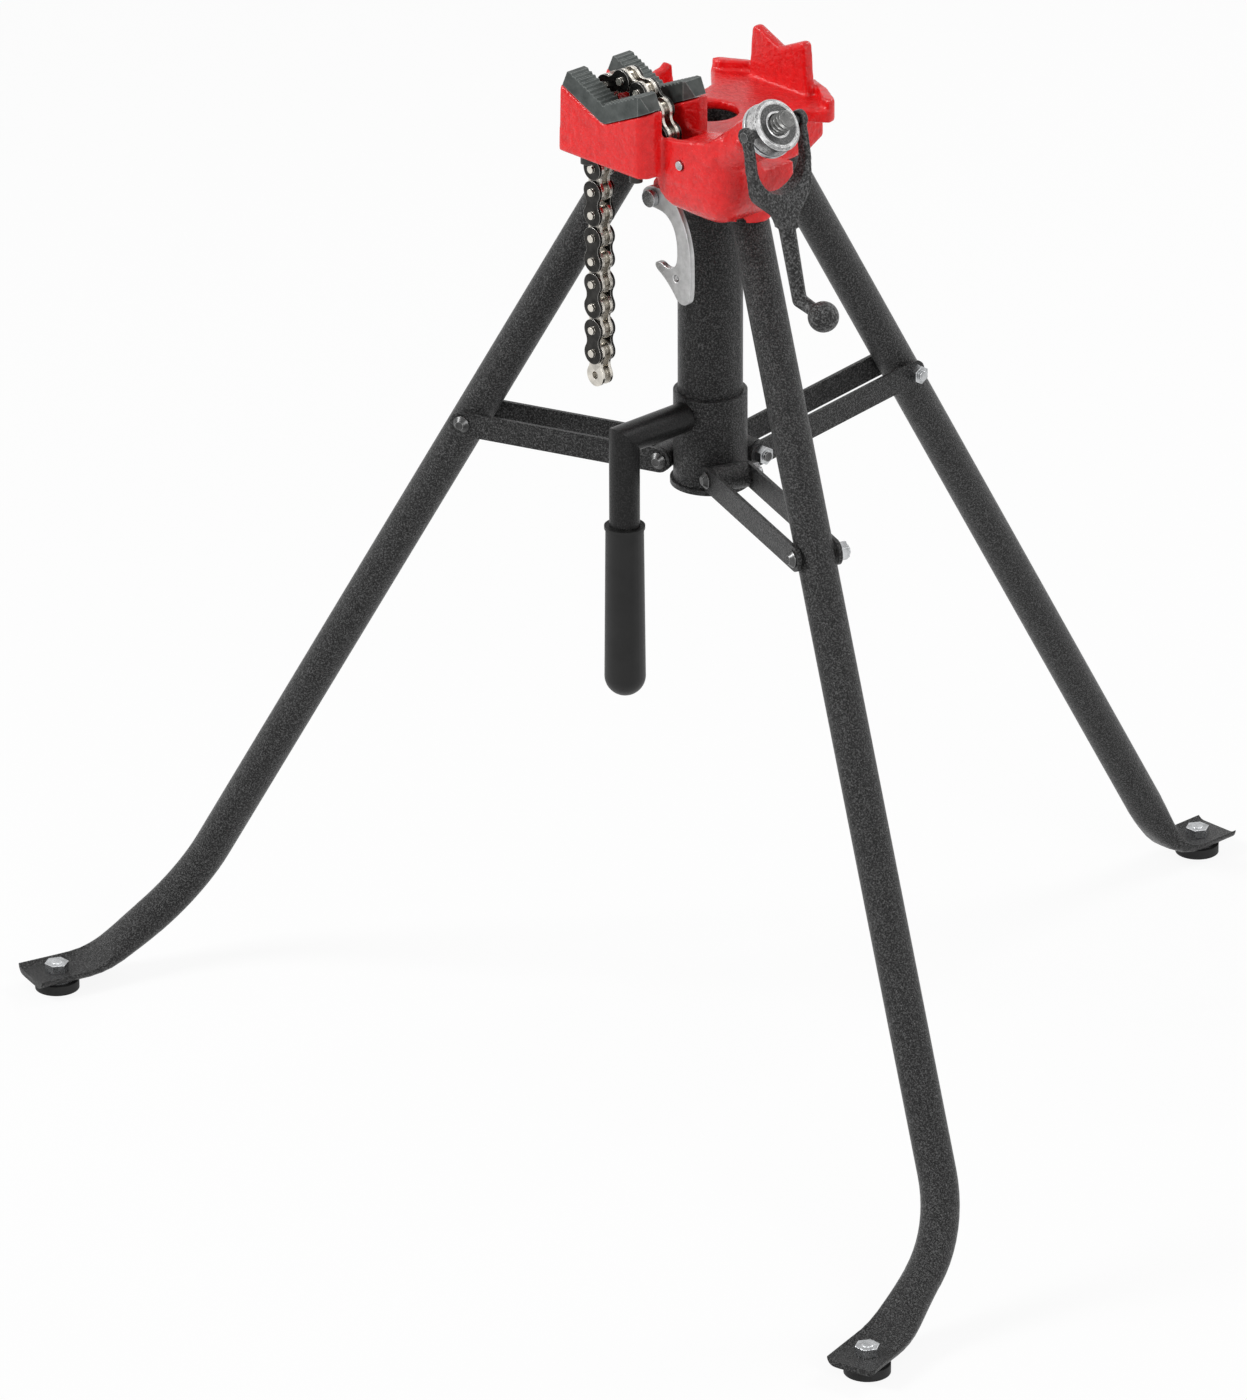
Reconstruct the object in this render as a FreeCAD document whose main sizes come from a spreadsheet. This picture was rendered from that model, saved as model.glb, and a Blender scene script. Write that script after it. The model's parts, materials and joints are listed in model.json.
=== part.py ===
import FreeCAD, Part
import math
import os
import Sketcher

Vector, Placement, Rotation = FreeCAD.Vector, FreeCAD.Placement, FreeCAD.Rotation

# Tripod pipe vise stand.  Millimetres and degrees.
# While it is modelled, the centre tube's axis is X = Y = 0 and the floor is Z = 0.
# A pipe lies along Y: the jaws are at the front (-Y), the V rest and one leg at the rear (+Y).
# At the end every sub-part is moved along Y so that the origin is the middle of the stance.

SIZES = [
    # centre tube and sliding collar
    ("tube_od", 50.8), ("tube_wall", 3.0), ("flange_od", 63.0), ("flange_thick", 4.0),
    ("tube_length", 301.0), ("slide_gap", 0.3), ("collar_wall", 3.3), ("collar_height", 73.0),
    ("lug_od", 20.5), ("lug_radius_at", 36.5), ("lug_rise", 13.2),
    ("handle_od", 24.0), ("handle_wall", 2.5), ("handle_rise", 57.7), ("handle_reach", 92.5),
    ("handle_drop", 196.0), ("grip_wall", 3.6), ("grip_cover", 124.0),
    # legs
    ("leg_od", 30.0), ("leg_wall", 2.5), ("leg_top_above", 14.0), ("hinge_radius_at", 59.0),
    ("hinge_below", 31.0), ("front_lean", 29.56), ("rear_lean", 31.6), ("front_spread", 68.7),
    ("hinge_pin_d", 10.0), ("front_corner_z", 66.0), ("rear_corner_z", 27.0),
    ("front_bend_r", 105.0), ("toe_turn", 15.0), ("front_taper", 58.0), ("rear_taper", 42.0),
    ("front_foot_run", 122.0), ("rear_foot_run", 42.0), ("foot_width", 42.0), ("foot_thick", 5.0),
    ("foot_lip", 4.5), ("foot_tip", 24.0), ("foot_flat", 34.0), ("foot_bend_r", 70.0),
    ("rear_foot_bend_r", 36.0), ("foot_rise", 10.0),
    ("pad_od", 36.0), ("foot_bolt_d", 8.0),
    # spreader bars
    ("bar_pin_at", 297.96), ("rear_bar_pin_at", 283.96), ("bar_width", 20.0), ("bar_thick", 3.0),
    ("bar_gap", 0.5),
    ("link_bolt_d", 8.0), ("bolt_head_od", 13.5), ("bolt_head_thick", 4.6), ("nut_flats", 13.0),
    ("nut_thick", 7.0),
    # head casting
    ("deck_z", 811.0), ("deck_thick", 11.0), ("brace_hole_d", 43.0), ("socket_shoulder", 8.0),
    ("hub_radius", 38.0), ("hub_below", 54.0), ("arm_half_width", 47.0), ("arm_front", 114.0),
    ("arm_below", 16.5), ("jaw_bevel", 9.0), ("seat_round", 14.0),
    ("bowl_left", 39.5), ("bowl_radius", 40.5), ("bowl_below", 11.0), ("bowl_front", 97.0),
    ("bowl_bottom", 46.0), ("bowl_corner", 34.0),
    ("bowl_round", 22.0), ("hood_half_width", 22.0), ("hood_end", 95.5), ("hood_below", 59.0),
    ("rear_hood_half_width", 20.5), ("rear_hood_end", 103.0),
    ("rest_y", 72.5), ("rest_thick", 9.0), ("rest_half_width", 33.0), ("rest_tip_x", 26.5),
    ("v_angle", 24.0), ("rest_v_above", 32.0), ("wing_half_width", 65.5), ("wing_front_y", 64.0),
    ("wing_rise", 8.0), ("side_rim_rise", 19.0), ("side_rim_end", 16.0), ("notch_y", 25.0),
    ("notch_inner_x", 41.0),
    ("back_y", 96.0),
    # jaws
    ("jaw_thick", 18.0), ("chain_gap", 30.0), ("jaw_v_above", 33.5), ("jaw_depth", 13.5),
    ("jaw_flank", 43.0), ("tooth_depth", 1.6), ("tooth_count", 9), ("jaw_screw_d", 6.0),
    # chain and screw
    ("pitch", 19.05), ("chain_plate_r", 9.0), ("chain_waist_r", 6.2), ("chain_plate_thick", 2.4),
    ("inner_half_gap", 2.9), ("chain_side_gap", 0.3), ("chain_pin_d", 6.0), ("chain_pin_half", 10.0),
    ("bush_od", 10.5), ("pin_play", 0.1), ("nose_radius", 9.3), ("well_width", 20.8),
    ("screw_od", 16.0), ("screw_angle", 36.0), ("eye_x", 53.0), ("eye_below", 21.8),
    ("screw_length", 140.5), ("clevis_back", 9.0), ("clevis_front", 14.0), ("seat_at", 111.5),
    ("barrel_od", 37.0), ("barrel_length", 77.0), ("thrust_washer_od", 43.0),
    ("thrust_washer_thick", 3.0), ("nut_od", 41.5), ("nut_height", 13.8), ("key_pin_d", 7.0),
    ("key_pin_at", 24.0), ("key_pin_above", 9.0),
    # fork handle
    ("fork_gap", 4.5), ("fork_arm_thick", 5.6), ("fork_eye_d", 14.0), ("fork_throat", 49.5),
    ("fork_arm_deep", 8.5), ("fork_crotch_out", 8.3), ("fork_stem_d", 13.4), ("fork_length", 131.5),
    ("fork_out", 29.0), ("fork_ball_d", 24.0), ("fork_ball_out", 25.5), ("fork_pin_d", 8.0),
    ("fork_at", 121.0),
    # latch
    ("latch_y", -47.0), ("latch_x", -12.5), ("latch_below", 62.0), ("latch_thick", 5.0),
    ("latch_bolt_d", 8.0), ("latch_throat_below", 116.0),
]


class Size:
    """A number that keeps the sheet expression that it comes from."""

    def __init__(self, value, text):
        self.value = float(value)
        self.text = text

    def _with(self, other, sign, value):
        right = other.text if isinstance(other, Size) else f"{float(other):.6f}"
        return Size(value, f"({self.text} {sign} {right})")

    def __add__(self, other):
        return self._with(other, "+", self.value + float(other))

    def __sub__(self, other):
        return self._with(other, "-", self.value - float(other))

    def __mul__(self, other):
        return self._with(other, "*", self.value * float(other))

    def __truediv__(self, other):
        return self._with(other, "/", self.value / float(other))

    def __neg__(self):
        return Size(-self.value, f"(0 - {self.text})")

    def __float__(self):
        return self.value

    __radd__ = __add__
    __rmul__ = __mul__


doc = FreeCAD.newDocument("pipe_vise_stand")
sheet = doc.addObject("Spreadsheet::Sheet", "Sizes")
for row, (alias, number) in enumerate(SIZES, start=1):
    sheet.set(f"A{row}", alias)
    sheet.set(f"B{row}", str(number))
    sheet.setAlias(f"B{row}", alias)
doc.recompute()
S = type("Sheet", (), {alias: Size(sheet.get(alias), f"Sizes.{alias}") for alias, _ in SIZES})
F = type("Plain", (), {alias: float(sheet.get(alias)) for alias, _ in SIZES})
for alias, height in {
    "flange_z": S.deck_z - S.socket_shoulder - S.tube_length,
    "hinge_z": S.deck_z - S.hinge_below,
    "hub_z": S.deck_z - S.hub_below,
    "arm_bottom": S.deck_z - S.arm_below,
    "bowl_z": S.deck_z - S.bowl_below,
    "hood_z": S.deck_z - S.hood_below,
    "rest_v_z": S.deck_z + S.rest_v_above,
    "jaw_v_z": S.deck_z + S.jaw_v_above,
    "eye_z": S.deck_z - S.eye_below,
    "latch_z": S.deck_z - S.latch_below,
    "latch_throat_z": S.deck_z - S.latch_throat_below,
}.items():
    setattr(S, alias, height)
    setattr(F, alias, float(height))

sub_parts = []
X_AXIS, Y_AXIS, Z_AXIS = Vector(1, 0, 0), Vector(0, 1, 0), Vector(0, 0, 1)


# ---------------------------------------------------------------- general helpers

def bind(target, prop, size):
    """Sets a property and ties it to the sheet where the size comes from there."""
    if isinstance(size, Size):
        target.setExpression(prop, size.text)
    else:
        setattr(target, prop, size)


def toward(direction, base=Vector()):
    """A placement whose local Z points along direction."""
    return Placement(base, Rotation(Z_AXIS, direction))


def spun(azimuth):
    """A placement turned about the centre tube: local X then points along the azimuth."""
    return Placement(Vector(), Rotation(Z_AXIS, azimuth))


def cylinder(name, radius, height, placement=Placement()):
    made = doc.addObject("Part::Cylinder", name)
    bind(made, "Radius", radius)
    bind(made, "Height", height)
    made.Placement = placement
    return made


def cone(name, radius_1, radius_2, height, placement=Placement()):
    made = doc.addObject("Part::Cone", name)
    bind(made, "Radius1", radius_1)
    bind(made, "Radius2", radius_2)
    bind(made, "Height", height)
    made.Placement = placement
    return made


def sphere(name, radius, centre):
    made = doc.addObject("Part::Sphere", name)
    bind(made, "Radius", radius)
    made.Placement = Placement(centre, Rotation())
    return made


def hexagon(name, flats, height, placement=Placement()):
    made = doc.addObject("Part::Prism", name)
    made.Polygon = 6
    bind(made, "Circumradius", flats / math.sqrt(3))
    bind(made, "Height", height)
    made.Placement = placement
    return made


def cut(name, base, tool):
    made = doc.addObject("Part::Cut", name)
    made.Base, made.Tool = base, tool
    return made


def fuse(name, shapes):
    made = doc.addObject("Part::MultiFuse", name)
    made.Shapes = shapes
    return made


def group(name, members):
    made = doc.addObject("Part::Compound", name)
    made.Links = members
    return made


def sub_part(label, made):
    made.Label = label
    sub_parts.append((label, made))
    return made


def origin_plane(body, role):
    return next(o for o in body.Origin.OriginFeatures if o.Role == role)


def draw_loop(sketch, corners):
    """Draws a closed outline.  A corner is (x, y) or (x, y, radius): the edge that follows it is
    then an arc of that radius, which bulges to the right of its direction if radius > 0."""
    count = len(corners)
    edges = []
    for number, corner in enumerate(corners):
        following = corners[(number + 1) % count]
        start = Vector(float(corner[0]), float(corner[1]), 0)
        end = Vector(float(following[0]), float(following[1]), 0)
        if len(corner) == 2:
            index = sketch.addGeometry(Part.LineSegment(start, end), False)
            edges.append((index, 1, 2))
            continue
        radius, counter_clockwise = abs(float(corner[2])), float(corner[2]) > 0
        half = (end - start) * 0.5
        rise = math.sqrt(max(radius ** 2 - half.Length ** 2, 0.0))
        side = Vector(-half.y, half.x, 0).normalize() * (rise if counter_clockwise else -rise)
        centre = start + half + side
        first, last = (start, end) if counter_clockwise else (end, start)
        angles = [math.atan2(p.y - centre.y, p.x - centre.x) for p in (first, last)]
        arc = Part.ArcOfCircle(Part.Circle(centre, Z_AXIS, radius), angles[0], angles[1])
        index = sketch.addGeometry(arc, False)
        edges.append((index, 1, 2) if counter_clockwise else (index, 2, 1))
        name = f"radius_{index}"
        sketch.addConstraint(Sketcher.Constraint("Radius", index, radius))
        sketch.renameConstraint(sketch.ConstraintCount - 1, name)
        if isinstance(corner[2], Size):
            text = corner[2].text if counter_clockwise else f"(0 - {corner[2].text})"
            sketch.setExpression(f"Constraints.{name}", text)
    for number in range(count):
        index, start, end = edges[number]
        after = edges[(number + 1) % count]
        sketch.addConstraint(Sketcher.Constraint("Coincident", index, end, after[0], after[1]))
        for kind, value in (("DistanceX", corners[number][0]), ("DistanceY", corners[number][1])):
            sketch.addConstraint(Sketcher.Constraint(kind, -1, 1, index, start, float(value)))
            if isinstance(value, Size):
                name = f"{kind}_{index}"
                sketch.renameConstraint(sketch.ConstraintCount - 1, name)
                sketch.setExpression(f"Constraints.{name}", value.text)


def draw_circle(sketch, x, y, radius):
    circle = Part.Circle(Vector(float(x), float(y), 0), Z_AXIS, float(radius))
    index = sketch.addGeometry(circle, False)
    for kind, value in (("DistanceX", x), ("DistanceY", y)):
        sketch.addConstraint(Sketcher.Constraint(kind, -1, 1, index, 3, float(value)))
        if isinstance(value, Size):
            sketch.renameConstraint(sketch.ConstraintCount - 1, f"{kind}_{index}")
            sketch.setExpression(f"Constraints.{kind}_{index}", value.text)
    sketch.addConstraint(Sketcher.Constraint("Radius", index, float(radius)))
    if isinstance(radius, Size):
        sketch.renameConstraint(sketch.ConstraintCount - 1, f"radius_{index}")
        sketch.setExpression(f"Constraints.radius_{index}", radius.text)


def new_sketch(body, name, role, offset, outline, holes=()):
    sketch = body.newObject("Sketcher::SketchObject", name)
    sketch.AttachmentSupport = [(origin_plane(body, role), "")]
    sketch.MapMode = "FlatFace"
    sketch.AttachmentOffset = offset
    if outline:
        draw_loop(sketch, outline)
    for x, y, radius in holes:
        draw_circle(sketch, x, y, radius)
    return sketch


def pad(body, name, outline, length, holes=(), role="XY_Plane", offset=Placement()):
    """Adds an outline drawn on an origin plane, moved by offset, as far as length."""
    sketch = new_sketch(body, f"{name}_outline", role, offset, outline, holes)
    made = body.newObject("PartDesign::Pad", name)
    made.Profile = sketch
    bind(made, "Length", length)
    return made


def pocket(body, name, outline, length, holes=(), role="XY_Plane", offset=Placement()):
    """Cuts an outline away, from its plane along the plane's normal, as far as length."""
    sketch = new_sketch(body, f"{name}_outline", role, offset, outline, holes)
    made = body.newObject("PartDesign::Pocket", name)
    made.Profile = sketch
    made.Reversed = True
    bind(made, "Length", length)
    return made


def rod(body, kind, name, radius, height, placement):
    """An additive or subtractive cylinder of a body."""
    made = body.newObject(f"PartDesign::{kind}Cylinder", name)
    bind(made, "Radius", radius)
    bind(made, "Height", height)
    made.Placement = placement
    return made


def at_height(z):
    return Placement(Vector(0, 0, z), Rotation())


def at_y(y):
    """For outlines in X and Z: their plane's normal is -Y, so a pad grows towards the front."""
    return Placement(Vector(0, 0, -y), Rotation())


# ---------------------------------------------------------------- places that pieces share

LEGS = {"left": 270.0 - F.front_spread, "right": 270.0 + F.front_spread, "rear": 90.0}
CHAIN_Y = -(F.arm_front - F.jaw_thick - F.chain_gap / 2)
SCREW_DIR = Vector(math.cos(math.radians(F.screw_angle)), 0, math.sin(math.radians(F.screw_angle)))
SCREW_UP = Vector(-SCREW_DIR.z, 0, SCREW_DIR.x)
EYE = Vector(F.eye_x, CHAIN_Y, F.eye_z)
COLLAR_Z = F.flange_z + F.flange_thick + F.slide_gap
LUG_Z = COLLAR_Z + F.lug_rise
STRADDLE = F.leg_od / 2 + F.bar_gap


def along_screw(distance, above=0.0):
    """A point on the screw's axis, measured from the eye, or above it."""
    return EYE + SCREW_DIR * distance + SCREW_UP * above


def radial(azimuth, radius, z, tangent=0.0):
    angle = math.radians(azimuth)
    return Vector(radius * math.cos(angle) - tangent * math.sin(angle),
                  radius * math.sin(angle) + tangent * math.cos(angle), z)


def lean_of(side):
    return F.rear_lean if side == "rear" else F.front_lean


def leg_arm(side):
    """How far down the leg its bars are pinned."""
    return F.rear_bar_pin_at if side == "rear" else F.bar_pin_at


def leg_point(side, distance):
    """(radius, z) of a point on a leg's axis, that far below its hinge."""
    slope = math.radians(lean_of(side))
    return (F.hinge_radius_at + distance * math.sin(slope), F.hinge_z - distance * math.cos(slope))


def bar_of(side):
    """The distance between a bar's two holes."""
    radius, z = leg_point(side, leg_arm(side))
    return math.hypot(radius - F.lug_radius_at, z - LUG_Z)


# ---------------------------------------------------------------- head casting

def hood_frame(azimuth, half_width):
    """Places an XZ outline so that its X runs outward along a leg, and centres its thickness."""
    turn = Rotation(Y_AXIS, azimuth)
    return Placement(turn.multVec(Vector(0, 0, -half_width)), turn)


def block(name, outline, length, role="XY_Plane", offset=Placement(), holes=()):
    """A body of one padded outline."""
    body = doc.addObject("PartDesign::Body", name)
    pad(body, f"{name}_pad", outline, length, holes=holes, role=role, offset=offset)
    return body


def rounded(body, name, radius, chosen):
    """Rounds the edges of a body's last feature that chosen accepts."""
    doc.recompute()
    base = body.Tip
    edges = [f"Edge{n}" for n, edge in enumerate(base.Shape.Edges, start=1) if chosen(edge)]
    made = body.newObject("PartDesign::Fillet", name)
    made.Base = (base, edges)
    bind(made, "Radius", radius)
    return made


def upright_at(x, y):
    """Chooses the upright edges that stand at (x, y)."""
    def chosen(edge):
        box = edge.BoundBox
        return (box.ZLength > 1 and abs(box.Center.x - x) < 0.5 and abs(box.Center.y - y) < 0.5
                and box.XLength < 0.01 and box.YLength < 0.01)
    return chosen


def common(name, shapes):
    made = doc.addObject("Part::MultiCommon", name)
    made.Shapes = shapes
    return made


def deck_outline():
    """The edge of the flat top, with two wings behind the jaws and two beside the rest."""
    wing_x, wing_y = S.wing_half_width, S.wing_front_y
    back_x = S.wing_half_width * 0.67
    return [
        (-wing_x, wing_y), (-S.notch_inner_x, S.notch_y + 16), (-S.notch_inner_x + 4, S.notch_y + 4),
        (-wing_x, S.notch_y - 5), (-wing_x, -14), (-52, -50), (92, -50), (92, -14),
        (46, 12), (S.notch_inner_x, S.notch_y + 20), (wing_x, wing_y), (wing_x - 1, wing_y + 7),
        (back_x, S.back_y - 13, 80), (-back_x, S.back_y - 13), (-wing_x + 1, wing_y + 7),
    ]


def deck_plate():
    """The flat top; the jaws' arm, the bowl and the hoods join it underneath."""
    return block("deck", deck_outline(), S.deck_thick, offset=at_height(F.deck_z - F.deck_thick))


def wing_rims():
    """Raised rims round the rear wings and along the left side behind the jaws."""
    rims = []
    wing_x, wing_y, low = F.wing_half_width, F.wing_front_y, F.deck_z - 2
    for name, sign in (("left", -1), ("right", 1)):
        outline = [
            (sign * 22, F.back_y - 16), (sign * 38, wing_y + 14), (sign * (wing_x - 9), wing_y),
            (sign * wing_x, wing_y), (sign * (wing_x - 1), wing_y + 7),
            (sign * wing_x * 0.67, F.back_y - 13), (sign * 22, F.back_y - 5.2),
        ]
        rims.append(block(f"rear_rim_{name}", outline, S.wing_rise + 2, offset=at_height(low)))
    x, end = F.wing_half_width, F.side_rim_end
    plan = [(-x - 2, end + 4), (-x - 2, -14), (-54, -50), (-42, -50), (-x + 8, -14), (-x + 8, end + 4)]
    ramp = [(-50, low), (end + 2, low), (end, low + F.side_rim_rise), (end - 4, low + F.side_rim_rise + 2),
            (end - 7, low + F.side_rim_rise - 1), (-50, low + 5)]
    rims.append(common("side_rim", [
        block("side_rim_plan", plan, 40, offset=at_height(low - 5)),
        block("side_rim_ramp", ramp, 40, role="YZ_Plane", offset=at_height(-x - 5)),
        block("side_rim_wing", deck_outline(), 60, offset=at_height(low - 10)),
    ]))
    return rims


def jaw_arm():
    """The V-topped block under both jaws; its right front corners are bevelled."""
    slope = math.radians(F.v_angle)
    half = S.arm_half_width
    seat_v = F.jaw_v_z - F.jaw_depth / math.cos(slope)
    seat_side = seat_v + (F.arm_half_width - 2) * math.tan(slope)
    tangent = F.seat_round * math.tan(slope / 2)
    seat_low = seat_v + tangent * math.sin(slope)
    outline = [
        (-half - 3, S.arm_bottom), (half - 3, S.arm_bottom), (half, S.arm_bottom + 6),
        (half, seat_side), (tangent * math.cos(slope), seat_low, -F.seat_round),
        (-tangent * math.cos(slope), seat_low), (-half - 1, seat_side), (-half - 2.5, S.arm_bottom + 18),
    ]
    body = block("arm", outline, S.arm_front - 48, role="XZ_Plane", offset=at_y(-48))
    for name, front, low in (("front", -F.arm_front, F.arm_bottom - 10),
                             ("rear", CHAIN_Y + F.chain_gap / 2, F.deck_z + 2)):
        pocket(body, f"arm_bevel_{name}", bevel_outline(front), 120, offset=at_height(low))
    edge = -F.arm_front + F.jaw_bevel
    rounded(body, "arm_round", 6.0, upright_at(F.arm_half_width, edge))
    return body


def bevel_outline(front):
    """The triangle that a jaw's right front corner loses."""
    half, bevel = F.arm_half_width, F.jaw_bevel
    return [(half - bevel - 1, front - 1), (half + 3, front - 1), (half + 3, front + bevel + 3)]


def bowl():
    """The rounded body right of the jaws that holds the screw's well."""
    x1, x2, low = F.bowl_left, F.bowl_left + 2 * F.bowl_radius, F.deck_z - F.bowl_bottom
    corner = F.bowl_corner
    side = [
        (x1, low + corner, S.bowl_corner), (x1 + corner, low), (x2 - corner, low, S.bowl_corner),
        (x2, low + corner),
        (x2 - 3, S.bowl_z + 38), (x2 - 11, S.bowl_z + 46), (x2 - 25, S.bowl_z + 36), (x1 + 20, S.bowl_z + 29),
        (x1, S.bowl_z + 29),
    ]
    front, bottom = F.bowl_front, low
    end_view = [
        (-front, bottom + F.bowl_round, F.bowl_round), (-front + F.bowl_round, bottom), (-28, bottom),
        (-28, F.deck_z), (-58, F.deck_z), (CHAIN_Y + F.chain_gap / 2, F.deck_z + 18),
        (CHAIN_Y + F.chain_gap / 2, F.deck_z + 40), (-front, F.deck_z + 40),
    ]
    plan = [
        (x1, -front), (x2 - F.bowl_round, -front, F.bowl_round), (x2, -front + F.bowl_round),
        (x2, -28), (x1, -28),
    ]
    height = F.bowl_z + 60 - low
    shapes = [
        block("bowl_side", side, F.bowl_front, role="XZ_Plane", offset=at_y(-20)),
        block("bowl_end", end_view, S.bowl_radius * 2 + 10, role="YZ_Plane", offset=at_height(x1 - 5)),
        block("bowl_plan", plan, height, offset=at_height(low - 5)),
    ]
    panel = [(55, S.arm_bottom), (86, S.arm_bottom), (107, F.deck_z + 19), (57, F.deck_z + 16)]
    raised = block("bowl_panel", panel, 3.0, role="XZ_Plane", offset=at_y(-front + 2.2))
    return [common("bowl", shapes), raised]


def front_hood(side):
    """A hood with a round end over a front leg's top."""
    azimuth, wide = LEGS[side], F.hood_half_width
    centre, end = F.hood_end - wide, F.hood_end
    outline = [
        (22, F.hub_z), (centre - 5, F.hub_z), (centre + 8, F.hood_z), (end + 1, F.hood_z),
        (end + 1, F.deck_z - 18), (end - 18, F.deck_z - 3), (22, F.deck_z - 3),
    ]
    plan = [(20, -wide), (centre, -wide, wide), (end, 0, wide), (centre, wide), (20, wide)]
    profile = block(f"hood_side_{side}", outline, 2 * wide, role="XZ_Plane",
                    offset=hood_frame(azimuth, wide))
    above = block(f"hood_plan_{side}", plan, 90, offset=Placement(
        Vector(0, 0, F.hood_z - 10), Rotation(Z_AXIS, azimuth)))
    return common(f"hood_{side}", [profile, above])


def rear_hood():
    end = F.rear_hood_end
    outline = [
        (22, F.hub_z), (70, F.hub_z), (end - 15, F.hub_z + 2.5), (end, F.hub_z + 10.5), (end, F.hub_z + 22),
        (end - 10, F.hub_z + 25), (80, F.deck_z - 8), (22, F.deck_z - 8),
    ]
    wide = F.rear_hood_half_width
    return block("hood_rear", outline, 2 * wide, role="XZ_Plane", offset=hood_frame(LEGS["rear"], wide))


def pipe_rest():
    """The upright plate with a V that carries a long pipe's far end."""
    slope = math.radians(F.v_angle)
    tip_z = F.rest_v_z + F.rest_tip_x * math.tan(slope)
    outline = [
        (-S.rest_half_width, F.deck_z - 5), (S.rest_half_width, F.deck_z - 5),
        (S.rest_tip_x + 3, tip_z - 4), (S.rest_tip_x, tip_z), (0, S.rest_v_z), (-S.rest_tip_x, tip_z),
        (-S.rest_tip_x - 3, tip_z - 4),
    ]
    body = block("pipe_rest", outline, S.rest_thick, role="XZ_Plane", offset=at_y(F.rest_y + F.rest_thick))
    rounded(body, "pipe_rest_tips", 3.0,
            lambda edge: edge.BoundBox.ZMin > F.rest_v_z + 1 and edge.BoundBox.ZLength < 0.01
            and edge.BoundBox.YLength > 1)
    rounded(body, "pipe_rest_round", 1.5,
            lambda edge: edge.BoundBox.ZMin > F.rest_v_z - 2 and edge.BoundBox.YLength < 0.01)
    return body


def well_tools():
    """What is cut out for the chain, from the slot between the jaws to the screw's eye."""
    reach = F.nose_radius
    nose = Vector(4, 0, F.deck_z + 23)
    slot = [
        (-62, F.deck_z - 71), (nose.x - reach, F.deck_z - 71), (nose.x - reach, nose.z, -reach),
        (nose.x, nose.z + reach, -reach),
        (nose.x + reach, nose.z), (nose.x + reach, F.deck_z - 5), (30, F.deck_z - 33), (44, F.deck_z - 35),
        (50, F.deck_z - 22), (50, F.deck_z + 90), (-62, F.deck_z + 90),
    ]
    floor = F.eye_z - F.clevis_back - 2
    corner, roof = along_screw(32, -11), along_screw(32, 11.5)
    mouth = F.eye_x + 13
    mouth_z = roof.z - (roof.x - mouth) * math.tan(math.radians(F.screw_angle))
    well = [
        (28, floor + 2), (38, floor - 3), (58, floor - 3), (66, floor), (corner.x, corner.z),
        (roof.x, roof.z), (mouth, mouth_z), (mouth, F.deck_z + 90), (28, F.deck_z + 90),
    ]
    return [
        block("chain_slot", slot, S.chain_gap, role="XZ_Plane", offset=at_y(CHAIN_Y + F.chain_gap / 2)),
        block("screw_well", well, S.well_width, role="XZ_Plane", offset=at_y(CHAIN_Y + F.well_width / 2)),
        cylinder("screw_bore", S.screw_od / 2 + 0.3, S.barrel_length + 30,
                 toward(SCREW_DIR, along_screw(F.seat_at - F.barrel_length - 20))),
    ]


def leg_tools():
    """Room for each leg's top: a slot close over the leg where it stands, and the sweep of its end."""
    tools = []
    half = F.leg_od / 2 + 0.4
    sweep = math.hypot(F.leg_top_above, F.leg_od / 2) + 0.6
    for side, azimuth in LEGS.items():
        slope = math.radians(lean_of(side))
        inner = F.hinge_radius_at - half
        normal = F.leg_od / 2 + 0.8

        def over(distance):
            radius, z = leg_point(side, distance)
            return radius + normal * math.cos(slope), z + normal * math.sin(slope)

        low = F.hinge_z - 110
        outline = [(inner, low), (170, low), over(105), over(0), (F.hinge_radius_at, F.hinge_z + 4),
                   (inner, F.hinge_z - 2)]
        tools.append(block(f"leg_slot_{side}", outline, 2 * half, role="XZ_Plane",
                           offset=hood_frame(azimuth, half)))
        tangent = radial(azimuth, 0, 0, 1)
        tools.append(cylinder(f"leg_sweep_{side}", sweep, 2 * half,
                              toward(tangent, radial(azimuth, F.hinge_radius_at, F.hinge_z, -half))))
        tools.append(cylinder(f"hinge_hole_{side}", S.hinge_pin_d / 2, 80,
                              toward(tangent, radial(azimuth, F.hinge_radius_at, F.hinge_z, -40))))
    return tools


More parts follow.
